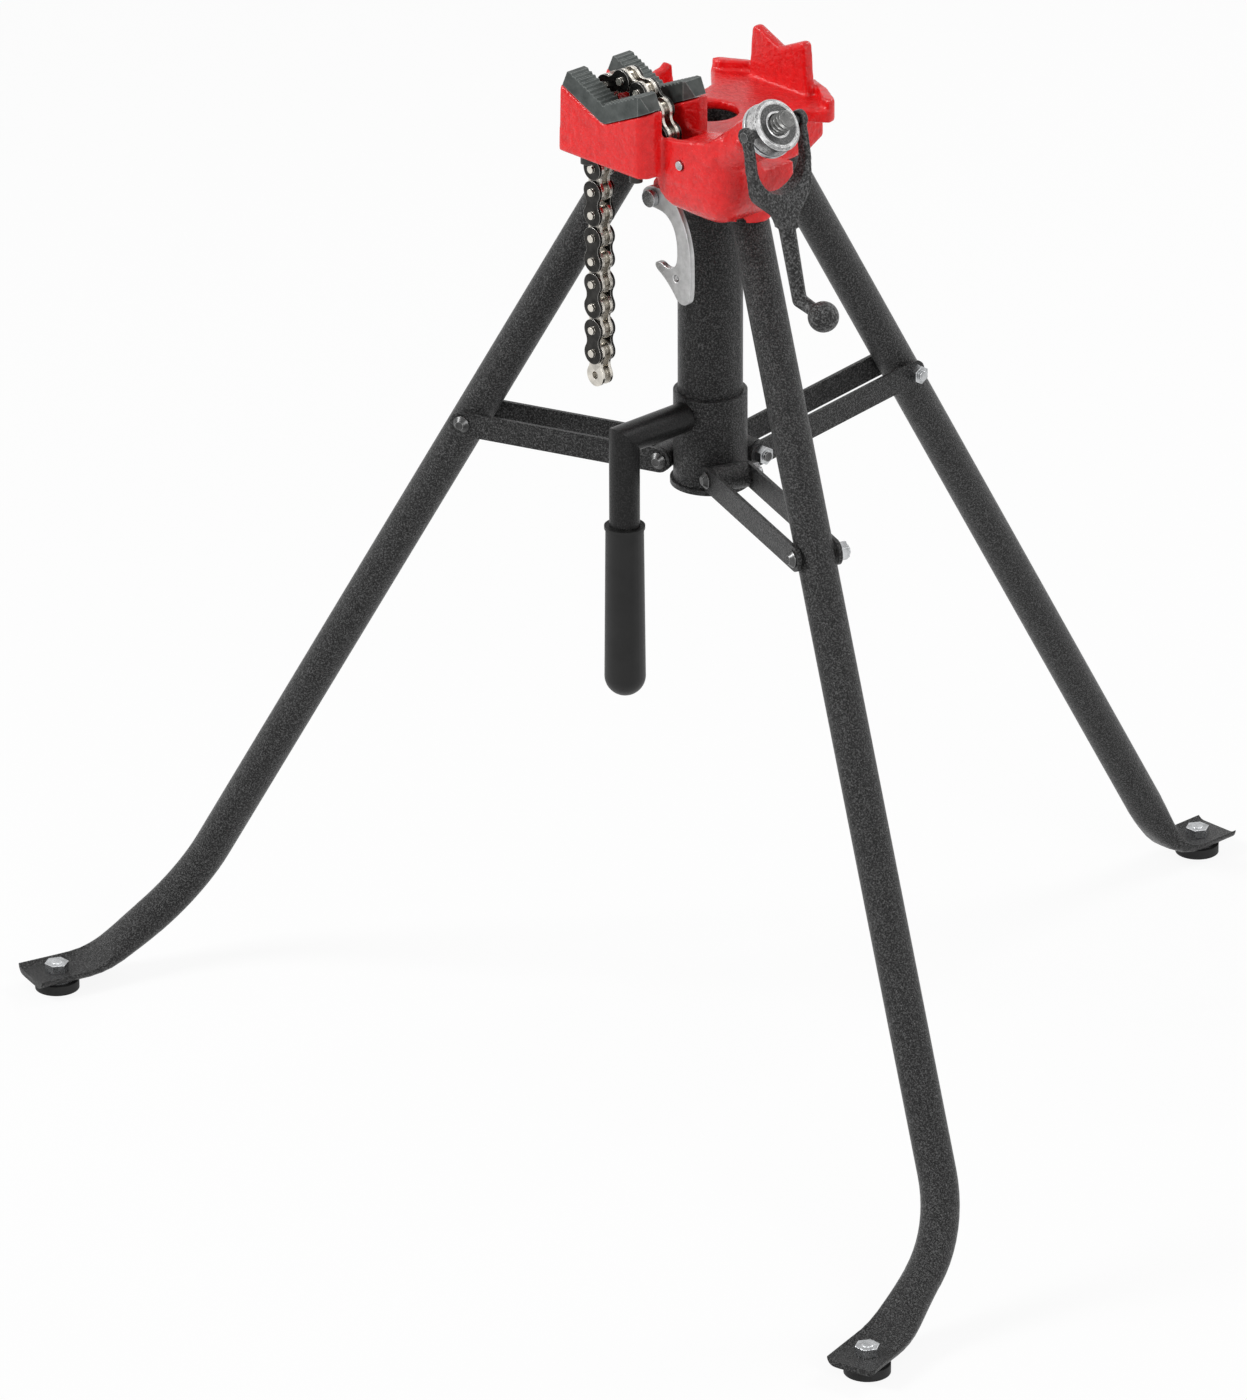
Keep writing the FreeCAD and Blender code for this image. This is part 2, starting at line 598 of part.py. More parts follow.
def head_casting():
    hub = cylinder("hub", S.hub_radius, S.deck_z - S.hub_z, at_height(F.hub_z))
    barrel = cone("barrel", S.barrel_od / 2 - 5, S.barrel_od / 2, S.barrel_length,
                  toward(SCREW_DIR, along_screw(F.seat_at - F.barrel_length)))
    lug = rounded_box(F.latch_x - 9, F.latch_x + 9, F.latch_y + F.latch_thick / 2 + 0.3, -28, 3)
    lug_body = block("latch_lug", lug, F.hub_z + 4 - (F.latch_z - 8), offset=at_height(F.latch_z - 8))
    solid = fuse("head_solid", [
        deck_plate(), hub, jaw_arm(), *bowl(), barrel, front_hood("right"), front_hood("left"),
        rear_hood(), pipe_rest(), *wing_rims(), lug_body])
    boss_at = along_screw(F.seat_at - 14) + Vector(0, -F.barrel_od / 2 + 3, 0)
    solid.Shapes = solid.Shapes + [sphere("barrel_boss", 5.0, boss_at)]
    tools = well_tools() + leg_tools() + [
        cylinder("tube_socket", S.tube_od / 2, S.deck_z - S.hub_z, at_height(F.hub_z - F.socket_shoulder)),
        cylinder("brace_hole", S.brace_hole_d / 2, S.deck_z - S.hub_z + 20, at_height(F.hub_z - 10)),
        cylinder("key_pin_hole", S.key_pin_d / 2, 80,
                 toward(Y_AXIS, along_screw(F.key_pin_at, F.key_pin_above) + Vector(0, -30, 0))),
        cylinder("latch_hole", S.latch_bolt_d / 2, 16,
                 toward(Vector(0, -1, 0), Vector(F.latch_x, F.latch_y + F.latch_thick / 2 + 16, F.latch_z))),
    ]
    for name, x, y, floor in jaw_screw_spots():
        tools.append(cylinder(f"jaw_screw_hole_{name}", S.jaw_screw_d / 2 + 0.3, 60, at_point(x, y, floor)))
    return sub_part("head_casting", cut("head_casting", solid, fuse("head_tools", tools)))


def rounded_box(x1, x2, y1, y2, corner):
    """Corners of a rectangle with round corners, counter-clockwise."""
    return [
        (x1 + corner, y1), (x2 - corner, y1, corner), (x2, y1 + corner),
        (x2, y2 - corner, corner), (x2 - corner, y2), (x1 + corner, y2, corner),
        (x1, y2 - corner), (x1, y1 + corner, corner),
    ]


def at_point(x, y, z):
    return Placement(Vector(x, y, z), Rotation())


def jaw_screw_spots():
    """Name, x, y and the height of the face that the screw head sits against, for each screw."""
    front = -F.arm_front + F.jaw_thick / 2
    rear = CHAIN_Y + F.chain_gap / 2 + F.jaw_thick / 2
    spots = []
    for name, y, floor in (("front", front, F.arm_bottom), ("rear", rear, F.arm_bottom)):
        for side, x in (("left", -27.0), ("right", 27.0)):
            spots.append((f"{name}_{side}", x, y, floor - (2.5 if y == rear else 0.0)))
    return spots


# ---------------------------------------------------------------- jaws

def jaw(label, front_y):
    """A V-shaped jaw with ridges that run along the pipe."""
    body = doc.addObject("PartDesign::Body", label)
    slope = math.radians(F.v_angle)
    along = Vector(math.cos(slope), math.sin(slope), 0)
    normal = Vector(-math.sin(slope), math.cos(slope), 0)
    notch = Vector(0, F.jaw_v_z, 0)
    seat = Vector(0, F.jaw_v_z - F.jaw_depth / math.cos(slope), 0)
    round_run = F.seat_round * math.tan(slope / 2)
    count = int(F.tooth_count)
    step = F.jaw_flank / (count + 1)
    right = []
    for number in range(count):
        right.append(notch + along * (step * (number + 0.5)))
        right.append(notch + along * (step * (number + 1)) + normal * F.tooth_depth)
    tip = notch + along * F.jaw_flank
    right += [tip, tip - normal * F.jaw_depth, seat + along * round_run]
    left = [Vector(-p.x, p.y, 0) for p in right]
    outline = [(p.x, p.y) for p in right[::-1] + [notch] + left[:-1]]
    outline.append((left[-1].x, left[-1].y, F.seat_round))
    pad(body, f"{label}_v", outline, S.jaw_thick, role="XZ_Plane", offset=at_y(front_y + F.jaw_thick))
    pocket(body, f"{label}_bevel", bevel_outline(front_y), 120, offset=at_height(F.jaw_v_z - 30))
    for side, x in (("left", -27.0), ("right", 27.0)):
        base = at_point(x, front_y + F.jaw_thick / 2, F.jaw_v_z - 12)
        rod(body, "Subtractive", f"{label}_tapped_hole_{side}", S.jaw_screw_d / 2, 16, base)
    return sub_part(label, body)


def jaws():
    jaw("front_jaw", -F.arm_front)
    jaw("rear_jaw", CHAIN_Y + F.chain_gap / 2)


# ---------------------------------------------------------------- centre tube and collar

def centre_tube():
    top = F.deck_z - F.socket_shoulder
    base = at_height(F.flange_z)
    outer = cylinder("tube_outside", S.tube_od / 2, top - F.flange_z, base)
    inner = cylinder("tube_bore", S.tube_od / 2 - S.tube_wall, top - F.flange_z, base)
    sub_part("centre_tube", cut("centre_tube", outer, inner))
    ring = cylinder("flange_disc", S.flange_od / 2, S.flange_thick, base)
    hole = cylinder("flange_hole", S.tube_od / 2, S.flange_thick, base)
    sub_part("stop_flange", cut("stop_flange", ring, hole))


def collar():
    base = at_height(COLLAR_Z)
    bore = S.tube_od / 2 + S.slide_gap
    outer = cylinder("sleeve_outside", bore + S.collar_wall, S.collar_height, base)
    inner = cylinder("sleeve_bore", bore, S.collar_height, base)
    sub_part("collar_sleeve", cut("collar_sleeve", outer, inner))
    lugs = []
    length = 2 * (STRADDLE - F.bar_gap)
    for side, azimuth in LEGS.items():
        tangent = radial(azimuth, 0, 0, 1)
        start = radial(azimuth, F.lug_radius_at, LUG_Z, -length / 2)
        barrel = cylinder(f"lug_{side}", S.lug_od / 2, length, toward(tangent, start))
        hole = cylinder(f"lug_hole_{side}", S.link_bolt_d / 2, length, toward(tangent, start))
        core = cylinder(f"lug_relief_{side}", bore + S.collar_wall, S.collar_height, base)
        lugs.append(cut(f"lug_body_{side}", cut(f"lug_seat_{side}", barrel, core), hole))
    sub_part("collar_lugs", group("collar_lugs", lugs))


def handle():
    """A tube out of the collar, mitred to a tube that hangs down, with a dipped grip on its end."""
    z = COLLAR_Z + F.handle_rise
    start_y = -(F.tube_od / 2 + F.slide_gap + F.collar_wall)
    path = Part.makePolygon([Vector(0, start_y, z), Vector(0, -F.handle_reach, z),
                             Vector(0, -F.handle_reach, z - F.handle_drop)])

    def swept(size):
        ring = Part.Wire(Part.makeCircle(size, path.Vertexes[0].Point, Vector(0, -1, 0)))
        pipe = Part.BRepOffsetAPI.MakePipeShell(Part.Wire(path.Edges))
        pipe.add(ring)
        pipe.setTransitionMode(1)
        pipe.build()
        pipe.makeSolid()
        return pipe.shape()

    wall = swept(F.handle_od / 2).cut(swept(F.handle_od / 2 - F.handle_wall))
    sleeve = Part.makeCylinder(F.tube_od / 2 + F.slide_gap + F.collar_wall, 200, Vector(0, 0, z - 100))
    made = doc.addObject("Part::Feature", "handle_tube")
    made.Shape = wall.cut(sleeve)
    sub_part("handle_tube", made)
    end_z = z - F.handle_drop
    grip_r = S.handle_od / 2 + S.grip_wall
    base = Vector(0, -F.handle_reach, end_z - 3)
    sleeve = cone("grip_sleeve", grip_r + 0.6, grip_r - 0.6, S.grip_cover + 3, toward(Z_AXIS, base))
    end = sphere("grip_end", grip_r + 0.6, base)
    bead_at = Vector(0, -F.handle_reach, end_z + F.grip_cover - 2.5)
    bead = cylinder("grip_bead", grip_r + 0.4, 2.5, toward(Z_AXIS, bead_at))
    hole = cylinder("grip_hole", S.handle_od / 2 + 0.05, S.grip_cover + 1,
                    toward(Z_AXIS, Vector(0, -F.handle_reach, end_z)))
    sub_part("handle_grip", cut("handle_grip", fuse("grip_solid", [sleeve, end, bead]), hole))


# ---------------------------------------------------------------- legs

def leg_path(side):
    """Corner points of a leg's axis in space: top, corner near the floor, start of the flat."""
    azimuth = LEGS[side]
    lean = math.radians(lean_of(side))
    top = leg_point(side, -F.leg_top_above)
    corner_z = F.rear_corner_z if side == "rear" else F.front_corner_z
    corner_at = (F.hinge_z - corner_z) / math.cos(lean)
    corner = leg_point(side, corner_at)
    if side == "rear":
        toe, run = 90.0, F.rear_foot_run
    else:
        turn = F.toe_turn if side == "right" else -F.toe_turn
        toe, run = 270.0 + turn, F.front_foot_run
    start = radial(azimuth, top[0], top[1])
    bend = radial(azimuth, corner[0], corner[1])
    ahead = Vector(math.cos(math.radians(toe)), math.sin(math.radians(toe)), 0)
    foot = bend + ahead * run
    foot.z = F.foot_rise + F.foot_thick / 2
    return start, bend, foot, ahead


def rounded_path(points, radii):
    """A wire of straight runs joined by tangent arcs."""
    edges = []
    here = points[0]
    for before, corner, after, radius in zip(points, points[1:], points[2:], radii):
        into, out = (before - corner).normalize(), (after - corner).normalize()
        half = math.acos(max(-1.0, min(1.0, into.dot(out)))) / 2
        reach = radius / math.tan(half)
        begin, end = corner + into * reach, corner + out * reach
        middle = corner + (into + out).normalize() * (radius / math.sin(half) - radius)
        edges += [Part.makeLine(here, begin), Part.Arc(begin, middle, end).toShape()]
        here = end
    edges.append(Part.makeLine(here, points[-1]))
    return Part.Wire(edges)


def swept_round(path, radius):
    first = path.Edges[0]
    ring = Part.Wire(Part.makeCircle(radius, first.Vertexes[0].Point, first.tangentAt(0)))
    return path.makePipeShell([ring], True, True)


def foot_section(centre, across, up, wide, tall, lip, square):
    """A closed outline that goes from round (square = 1) to a flat channel with raised sides."""
    points = []
    for number in range(24):
        angle = 2 * math.pi * (number + 0.5) / 24
        c, v = math.cos(angle), math.sin(angle)
        out = wide * math.copysign(abs(c) ** square, c)
        rise = tall * math.copysign(abs(v) ** square, v) + lip * c ** 4
        points.append(centre + across * out + up * rise)
    outline = Part.BSplineCurve()
    outline.interpolate(points, PeriodicFlag=True)
    return Part.Wire(outline.toShape())


def along_path(path, distance):
    """The point and the direction that far along a wire."""
    for edge in path.Edges:
        if distance <= edge.Length or edge.isSame(path.Edges[-1]):
            here = edge.getParameterByLength(min(distance, edge.Length))
            return edge.valueAt(here), edge.tangentAt(here)
        distance -= edge.Length


def pressed_foot(path, foot, ahead):
    """The end of the tube pressed flat: it gets wider as it gets thinner, then runs level."""
    side = Vector(-ahead.y, ahead.x, 0)
    round_r = F.leg_od / 2 - 0.15
    begin, incoming = along_path(path, 0)
    sections = [foot_section(begin - incoming * 4, side, incoming.cross(side), round_r, round_r, 0, 1)]
    count = 8
    for number in range(count + 1):
        share = number / count
        ease = 3 * share ** 2 - 2 * share ** 3
        centre, normal = along_path(path, path.Length * share)
        across = (side - normal * side.dot(normal)).normalize()
        wide = round_r + (F.foot_width / 2 - round_r) * ease
        tall = round_r + (F.foot_thick / 2 - round_r) * ease
        sections.append(foot_section(centre, across, normal.cross(across), wide, tall,
                                     F.foot_lip * ease, 1 - 0.55 * ease))
    tip = foot + ahead * F.foot_tip
    sections.append(foot_section(tip, side, ahead.cross(side), F.foot_width / 2, F.foot_thick / 2,
                                 F.foot_lip, 0.45))
    pressed = Part.makeLoft(sections, True, True)
    hole = Part.makeCylinder(F.foot_bolt_d / 2, 60, Vector(foot.x, foot.y, foot.z - 30))
    return pressed.cut(hole)


def leg_shape(side):
    if side == "left":
        return leg_shape("right").mirror(Vector(), X_AXIS)
    start, bend, foot, ahead = leg_path(side)
    if side == "rear":
        down = (bend - start).normalize()
        round_end = bend - down * F.rear_taper
        corner = bend - down * ((bend.z - foot.z) / down.z)
        ring = Part.Wire(Part.makeLine(start, round_end))
        bend_r = F.rear_foot_bend_r
    else:
        corner = foot - ahead * F.foot_flat
        down = (corner - bend).normalize()
        round_end = corner - down * F.front_taper
        ring = rounded_path([start, bend, round_end], [F.front_bend_r])
        bend_r = F.foot_bend_r
    tube = swept_round(ring, F.leg_od / 2).cut(swept_round(ring, F.leg_od / 2 - F.leg_wall))
    level = foot - ahead * (F.nut_flats * 0.9)
    tube = tube.fuse(pressed_foot(rounded_path([round_end, corner, level], [bend_r]), foot, ahead))
    azimuth = LEGS[side]
    tangent = radial(azimuth, 0, 0, 1)
    for distance, size in ((0.0, F.hinge_pin_d), (leg_arm(side), F.link_bolt_d)):
        at = leg_point(side, distance)
        hole = Part.makeCylinder(size / 2, 80, radial(azimuth, at[0], at[1], -40), tangent)
        tube = tube.cut(hole)
    return tube


def foot_hardware(side):
    """The rubber pad under a foot, and the bolt and nut that hold it."""
    foot = leg_path(side)[2]
    low = foot.z - F.foot_thick / 2 - 0.15
    under = Vector(foot.x, foot.y, 0)
    disc = cylinder(f"{side}_pad_disc", S.pad_od / 2, low - 2, toward(Z_AXIS, under))
    sink = cylinder(f"{side}_pad_sink", S.foot_bolt_d / 2, low - 2 - 3,
                    toward(Z_AXIS, under + Vector(0, 0, 3)))
    pad_piece = cut(f"{side}_foot_pad", disc, sink)
    cup = cylinder(f"{side}_pad_washer", S.pad_od / 2 - 4, 2, toward(Z_AXIS, under + Vector(0, 0, low - 2)))
    stud = cylinder(f"{side}_foot_stud", S.foot_bolt_d / 2, foot.z + 10 - 3,
                    toward(Z_AXIS, under + Vector(0, 0, 3)))
    nut_z = foot.z + F.foot_thick / 2 + 0.15
    blank = hexagon(f"{side}_foot_nut_blank", S.nut_flats * 1.3, S.nut_thick,
                    toward(Z_AXIS, Vector(foot.x, foot.y, nut_z)))
    hole = cylinder(f"{side}_foot_nut_hole", S.foot_bolt_d / 2, S.nut_thick,
                    toward(Z_AXIS, Vector(foot.x, foot.y, nut_z)))
    nut = cut(f"{side}_foot_nut", blank, hole)
    bolt = fuse(f"{side}_foot_bolt_solid", [cup, stud])
    return pad_piece, group(f"{side}_foot_bolt", [bolt, nut])


def legs():
    for side in ("left", "right", "rear"):
        made = doc.addObject("Part::Feature", f"{side}_leg")
        made.Shape = leg_shape(side)
        sub_part(f"{side}_leg", made)
        pad_piece, bolt = foot_hardware(side)
        sub_part(f"{side}_foot_pad", pad_piece)
        sub_part(f"{side}_foot_bolt", bolt)


def leg_hinge_pins():
    """A bolt across each hood, blind in one cheek and with a nut on the other."""
    pieces = []
    for side, azimuth in LEGS.items():
        half = F.rear_hood_half_width if side == "rear" else F.hood_half_width
        sign = 1 if side == "right" else -1
        tangent = radial(azimuth, 0, 0, sign)
        start = radial(azimuth, F.hinge_radius_at, F.hinge_z, -sign * (half - 1))
        face = radial(azimuth, F.hinge_radius_at, F.hinge_z, sign * half)
        pieces.append(cylinder(f"hinge_pin_{side}", S.hinge_pin_d / 2 - 0.05,
                               2 * half - 1 + F.nut_thick + 3, toward(tangent, start)))
        blank = hexagon(f"hinge_nut_blank_{side}", S.hinge_pin_d * 1.6, S.nut_thick, toward(tangent, face))
        bore = S.hinge_pin_d / 2 - 0.05
        hole = cylinder(f"hinge_nut_hole_{side}", bore, S.nut_thick, toward(tangent, face))
        pieces.append(cut(f"hinge_nut_{side}", blank, hole))
    sub_part("leg_hinge_pins", group("leg_hinge_pins", pieces))


# ---------------------------------------------------------------- spreader bars

def link_bars(side):
    """Two flat bars with round ends, one each side of the leg, from the leg to the collar lug."""
    azimuth = LEGS[side]
    pivot = leg_point(side, leg_arm(side))
    angle = math.degrees(math.atan2(LUG_Z - pivot[1], F.lug_radius_at - pivot[0]))
    half = S.bar_width / 2
    length = bar_of(side)
    outline = [
        (0, -half), (length, -half, half), (length + half, 0, half),
        (length, half), (0, half, half), (-half, 0, half),
    ]
    holes = [(0, 0, S.link_bolt_d / 2), (length, 0, S.link_bolt_d / 2)]
    bars = []
    for name, offset in (("a", STRADDLE), ("b", -STRADDLE - F.bar_thick)):
        body = doc.addObject("PartDesign::Body", f"{side}_bar_{name}")
        pad(body, f"{side}_bar_{name}_pad", outline, S.bar_thick, holes=holes)
        stand = Placement(Vector(), Rotation(X_AXIS, 90))
        tilt = Placement(Vector(), Rotation(Y_AXIS, -angle))
        place = Placement(Vector(pivot[0], offset + F.bar_thick, pivot[1]), Rotation())
        body.Placement = spun(azimuth).multiply(place).multiply(tilt).multiply(stand)
        bars.append(body)
    return sub_part(f"{side}_link_bars", group(f"{side}_link_bars", bars))


def bolt_end(name, at, direction, with_nut):
    """What is seen of a bolt outside a bar: a low round head, or the end that stands out of a nut."""
    place = toward(direction, at)
    if with_nut:
        return cylinder(name, S.link_bolt_d / 2 - 0.05, S.nut_thick + 2, place)
    low = cylinder(f"{name}_rim", S.bolt_head_od / 2, 1.2, place)
    crown = cone(f"{name}_crown", S.bolt_head_od / 2, S.bolt_head_od / 2 - 3.4, S.bolt_head_thick - 1.2,
                 toward(direction, at + direction * 1.2))
    return fuse(name, [low, crown])


def bolt_nut(name, at, direction):
    blank = hexagon(f"{name}_blank", S.nut_flats, S.nut_thick, toward(direction, at))
    hole = cylinder(f"{name}_hole", S.link_bolt_d / 2 - 0.05, S.nut_thick, toward(direction, at))
    return cut(name, blank, hole)


def link_bolts(side):
    """The bolt through the lug, and the head and nut ends of the bolt through the leg."""
    azimuth = LEGS[side]
    tangent = radial(azimuth, 0, 0, 1)
    pivot = leg_point(side, leg_arm(side))
    outer = STRADDLE + F.bar_thick
    nut_side = {"left": -1, "right": 1, "rear": -1}[side]
    pieces = []
    for name, radius, z in (("lug", F.lug_radius_at, LUG_Z), ("leg", pivot[0], pivot[1])):
        nut_at = radial(azimuth, radius, z, nut_side * outer)
        head_at = radial(azimuth, radius, z, -nut_side * outer)
        nut_end = bolt_end(f"{side}_{name}_thread_end", nut_at, tangent * nut_side, True)
        head_end = bolt_end(f"{side}_{name}_head", head_at, tangent * -nut_side, False)
        pieces.append(bolt_nut(f"{side}_{name}_nut", nut_at, tangent * nut_side))
        if name == "lug":
            shank = cylinder(f"{side}_lug_shank", S.link_bolt_d / 2 - 0.05, 2 * outer,
                             toward(tangent, radial(azimuth, radius, z, -outer)))
            pieces.append(fuse(f"{side}_lug_bolt", [shank, nut_end, head_end]))
            continue
        for word, sign, end in (("thread", nut_side, nut_end), ("head", -nut_side, head_end)):
            stub = cylinder(f"{side}_leg_stub_{word}", S.link_bolt_d / 2 - 0.05, S.bar_thick,
                            toward(tangent * sign, radial(azimuth, radius, z, sign * STRADDLE)))
            pieces.append(fuse(f"{side}_leg_end_{word}", [stub, end]))
    sub_part(f"{side}_link_bolts", group(f"{side}_link_bolts", pieces))
    length = 2 * (STRADDLE - F.bar_gap + 0.2)
    pin = cylinder(f"{side}_link_pin", S.link_bolt_d / 2, length,
                   toward(tangent, radial(azimuth, pivot[0], pivot[1], -length / 2)))
    sub_part(f"{side}_link_pin", pin)


# ---------------------------------------------------------------- screw, nut and fork handle

def chain_screw():
    shaft_start = F.clevis_front - 2
    shaft = cylinder("screw_shaft", S.screw_od / 2, S.screw_length - shaft_start,
                     toward(SCREW_DIR, along_screw(shaft_start)))
    clevis_half = 8.6
    ears = cylinder("clevis_round", S.clevis_back, 2 * clevis_half,
                    toward(Y_AXIS, EYE + Vector(0, -clevis_half, 0)))
    shoulder = doc.addObject("Part::Box", "clevis_block")
    bind(shoulder, "Length", S.clevis_front)
    shoulder.Width = 2 * clevis_half
    bind(shoulder, "Height", S.clevis_back * 2)
    corner = EYE + Vector(0, -clevis_half, 0) - SCREW_UP * F.clevis_back
    shoulder.Placement = Placement(corner, Rotation(Y_AXIS, -F.screw_angle))
    gap = doc.addObject("Part::Box", "clevis_gap")
    inside = F.inner_half_gap + F.chain_plate_thick + 0.4
    gap.Length, gap.Width, gap.Height = 2 * F.chain_plate_r + 1.5, 2 * inside, 40
    corner = along_screw(-F.chain_plate_r - 0.8, -20) - Vector(0, inside, 0)
    gap.Placement = Placement(corner, Rotation(Y_AXIS, -F.screw_angle))
    flat = doc.addObject("Part::Box", "key_flat")
    flat.Length, flat.Width, flat.Height = 62, 40, 12
    corner = along_screw(-24, F.key_pin_above - F.key_pin_d / 2 - 0.3) - Vector(0, 20, 0)
    flat.Placement = Placement(corner, Rotation(Y_AXIS, -F.screw_angle))
    hole = cylinder("clevis_hole", S.chain_pin_d / 2, 40, toward(Y_AXIS, EYE + Vector(0, -20, 0)))
    solid = fuse("screw_blank", [shaft, ears, shoulder])
    tools = fuse("screw_tools", [gap, flat, hole])
    sub_part("chain_screw", cut("chain_screw", solid, tools))
    pin = cylinder("clevis_pin", S.chain_pin_d / 2, 2 * clevis_half + 1.6,
                   toward(Y_AXIS, EYE + Vector(0, -clevis_half - 0.8, 0)))
    sub_part("clevis_pin", pin)
    length = 62.0
    key = cylinder("cross_pin", S.key_pin_d / 2, length,
                   toward(Y_AXIS, along_screw(F.key_pin_at, F.key_pin_above) + Vector(0, -18.0, 0)))
    sub_part("cross_pin", key)


def screw_nut():
    seat = F.seat_at
    washer_at = along_screw(seat)
    disc = cylinder("washer_disc", S.thrust_washer_od / 2, S.thrust_washer_thick,
                    toward(SCREW_DIR, washer_at))
    hole = cylinder("washer_hole", S.screw_od / 2 + 0.5, S.thrust_washer_thick,
                    toward(SCREW_DIR, washer_at))
    sub_part("nut_washer", cut("nut_washer", disc, hole))
    nut_at = along_screw(seat + F.thrust_washer_thick)
    blank = cylinder("nut_blank", S.nut_od / 2, S.nut_height, toward(SCREW_DIR, nut_at))
    bore = cylinder("nut_bore", S.screw_od / 2 + 0.1, S.nut_height, toward(SCREW_DIR, nut_at))
    drill = cylinder("nut_pin_bore", S.fork_pin_d / 2 + 0.05, S.nut_od,
                     toward(Y_AXIS, along_screw(F.fork_at) - Vector(0, F.nut_od / 2, 0)))
    sub_part("screw_nut", cut("screw_nut", blank, fuse("nut_tools", [bore, drill])))


def fork_handle():
    """A cast fork with an eye on each arm, a round stem and a ball on a short bend."""
    trunnion = along_screw(F.fork_at)
    inside = F.nut_od / 2 + F.fork_gap
    wide = inside + F.fork_arm_thick
    pieces = []
    for name, sign in (("front", -1), ("rear", 1)):
        pieces.append(cylinder(f"fork_eye_{name}", S.fork_eye_d / 2, S.fork_arm_thick,
                               toward(Y_AXIS * sign, trunnion + Y_AXIS * (sign * inside))))
    stem, arm = F.fork_stem_d / 2, F.fork_arm_deep / 2
    stem_end = trunnion + Vector(F.fork_out, 0, -F.fork_length)
    crotch = trunnion + Vector(F.fork_crotch_out, 0, -F.fork_throat)
    spine = [(trunnion, arm)]
    for out, down, deep in ((0.42, 0.26, arm), (0.8, 0.68, arm * 1.15), (1, 1, stem * 0.97)):
        spine.append((trunnion + Vector(F.fork_crotch_out * out, 0, -F.fork_throat * down), deep))
    spine.append((crotch + (stem_end - crotch) * 0.36, stem))
    edges = ([], [])
    for number, (point, deep) in enumerate(spine):
        before, after = spine[max(number - 1, 0)][0], spine[min(number + 1, len(spine) - 1)][0]
        ahead = (after - before).normalize()
        across = Vector(-ahead.z, 0, ahead.x) * deep
        edges[0].append((point.x - across.x, point.z - across.z))
        edges[1].append((point.x + across.x, point.z + across.z))
    side = edges[0] + edges[1][::-1]
    top, low, shoulder = trunnion.z, crotch.z - 27, crotch.z
    y = CHAIN_Y
    front = [
        (y - stem, low), (y + stem, low, -22), (y + stem + 3.4, shoulder - 16.5),
        (y + wide * 0.74, shoulder - 5.5, 16), (y + wide * 0.915, shoulder + 4),
        (y + wide, shoulder + 22), (y + wide, top), (y + inside, top),
        (y + inside, shoulder + inside, -inside),
        (y, shoulder, -inside), (y - inside, shoulder + inside), (y - inside, top), (y - wide, top),
        (y - wide, shoulder + 22), (y - wide * 0.915, shoulder + 4, 16), (y - wide * 0.74, shoulder - 5.5),
        (y - stem - 3.4, shoulder - 16.5, -22),
    ]
    pieces.append(common("fork_yoke", [
        block("fork_side", side, 2 * wide, role="XZ_Plane", offset=at_y(CHAIN_Y + wide)),
        block("fork_front", front, F.fork_out + 40, role="YZ_Plane", offset=at_height(trunnion.x - 20)),
    ]))
    stem_start = spine[-1][0] + (crotch - spine[-1][0]) * 0.3
    reach = stem_end - stem_start
    pieces.append(cone("fork_stem", S.fork_stem_d / 2, S.fork_stem_d / 2 - 1, reach.Length,
                       toward(reach, stem_start)))
    pieces.append(sphere("fork_elbow", S.fork_stem_d / 2 - 1, stem_end))
    ball_at = stem_end + Vector(F.fork_ball_out, 0, -F.fork_ball_out * 0.24)
    reach = ball_at - stem_end
    pieces.append(cone("fork_neck", S.fork_stem_d / 2 - 1, S.fork_stem_d / 2 - 1.5, reach.Length,
                       toward(reach, stem_end)))
    pieces.append(sphere("fork_ball", S.fork_ball_d / 2, ball_at))
    solid = fuse("fork_solid", pieces)
    hole = cylinder("fork_eye_hole", S.fork_pin_d / 2, 2 * wide + 4,
                    toward(Y_AXIS, trunnion - Y_AXIS * (wide + 2)))
    sub_part("fork_handle", cut("fork_handle", solid, hole))
    pins = []
    length = F.nut_od / 2 - F.screw_od / 2 - 1.0 + F.fork_gap + F.fork_arm_thick
    for name, sign in (("front", -1), ("rear", 1)):
        start = trunnion + Y_AXIS * (sign * (F.screw_od / 2 + 1.0))
        pins.append(cylinder(f"fork_pin_{name}", S.fork_pin_d / 2, length, toward(Y_AXIS * sign, start)))
    sub_part("fork_pins", group("fork_pins", pins))


# ---------------------------------------------------------------- carrying latch

def latch():
    """A flat hook that hangs beside the tube and catches the raised collar's handle."""
    body = doc.addObject("PartDesign::Body", "latch_hook")
    x, z = F.latch_x, F.latch_z
    throat = F.latch_throat_z
    outline = [
        (x - 13, z + 2), (x - 7, z - 8), (x + 6, z - 10), (14, z - 34), (16.5, throat + 4),
        (12.3, throat - 4), (4, throat - 8), (-8, throat - 6), (-14, throat + 4), (-17, throat + 1), (-10, throat - 14),
        (10, throat - 32), (20, throat - 33), (28, throat - 10), (29, throat + 16), (24, z - 20), (12, z + 4),
        (x + 8, z + 10), (x - 6, z + 10),
    ]
    holes = [(x, z, S.latch_bolt_d / 2 + 0.1), (14, throat - 18, 3)]
    pad(body, "latch_plate", outline, S.latch_thick, holes=holes,
        role="XZ_Plane", offset=at_y(F.latch_y + F.latch_thick / 2))
    sub_part("latch_hook", body)
    base = Vector(x, F.latch_y + F.latch_thick / 2 + 16, z)
    reach = 16 + F.latch_thick + 1
    shank = cylinder("latch_shank", S.latch_bolt_d / 2, reach, toward(Vector(0, -1, 0), base))
    head = cylinder("latch_head", S.bolt_head_od / 2, S.bolt_head_thick,
                    toward(Vector(0, -1, 0), Vector(x, F.latch_y - F.latch_thick / 2 - 0.5, z)))
    sub_part("latch_bolt", fuse("latch_bolt", [shank, head]))


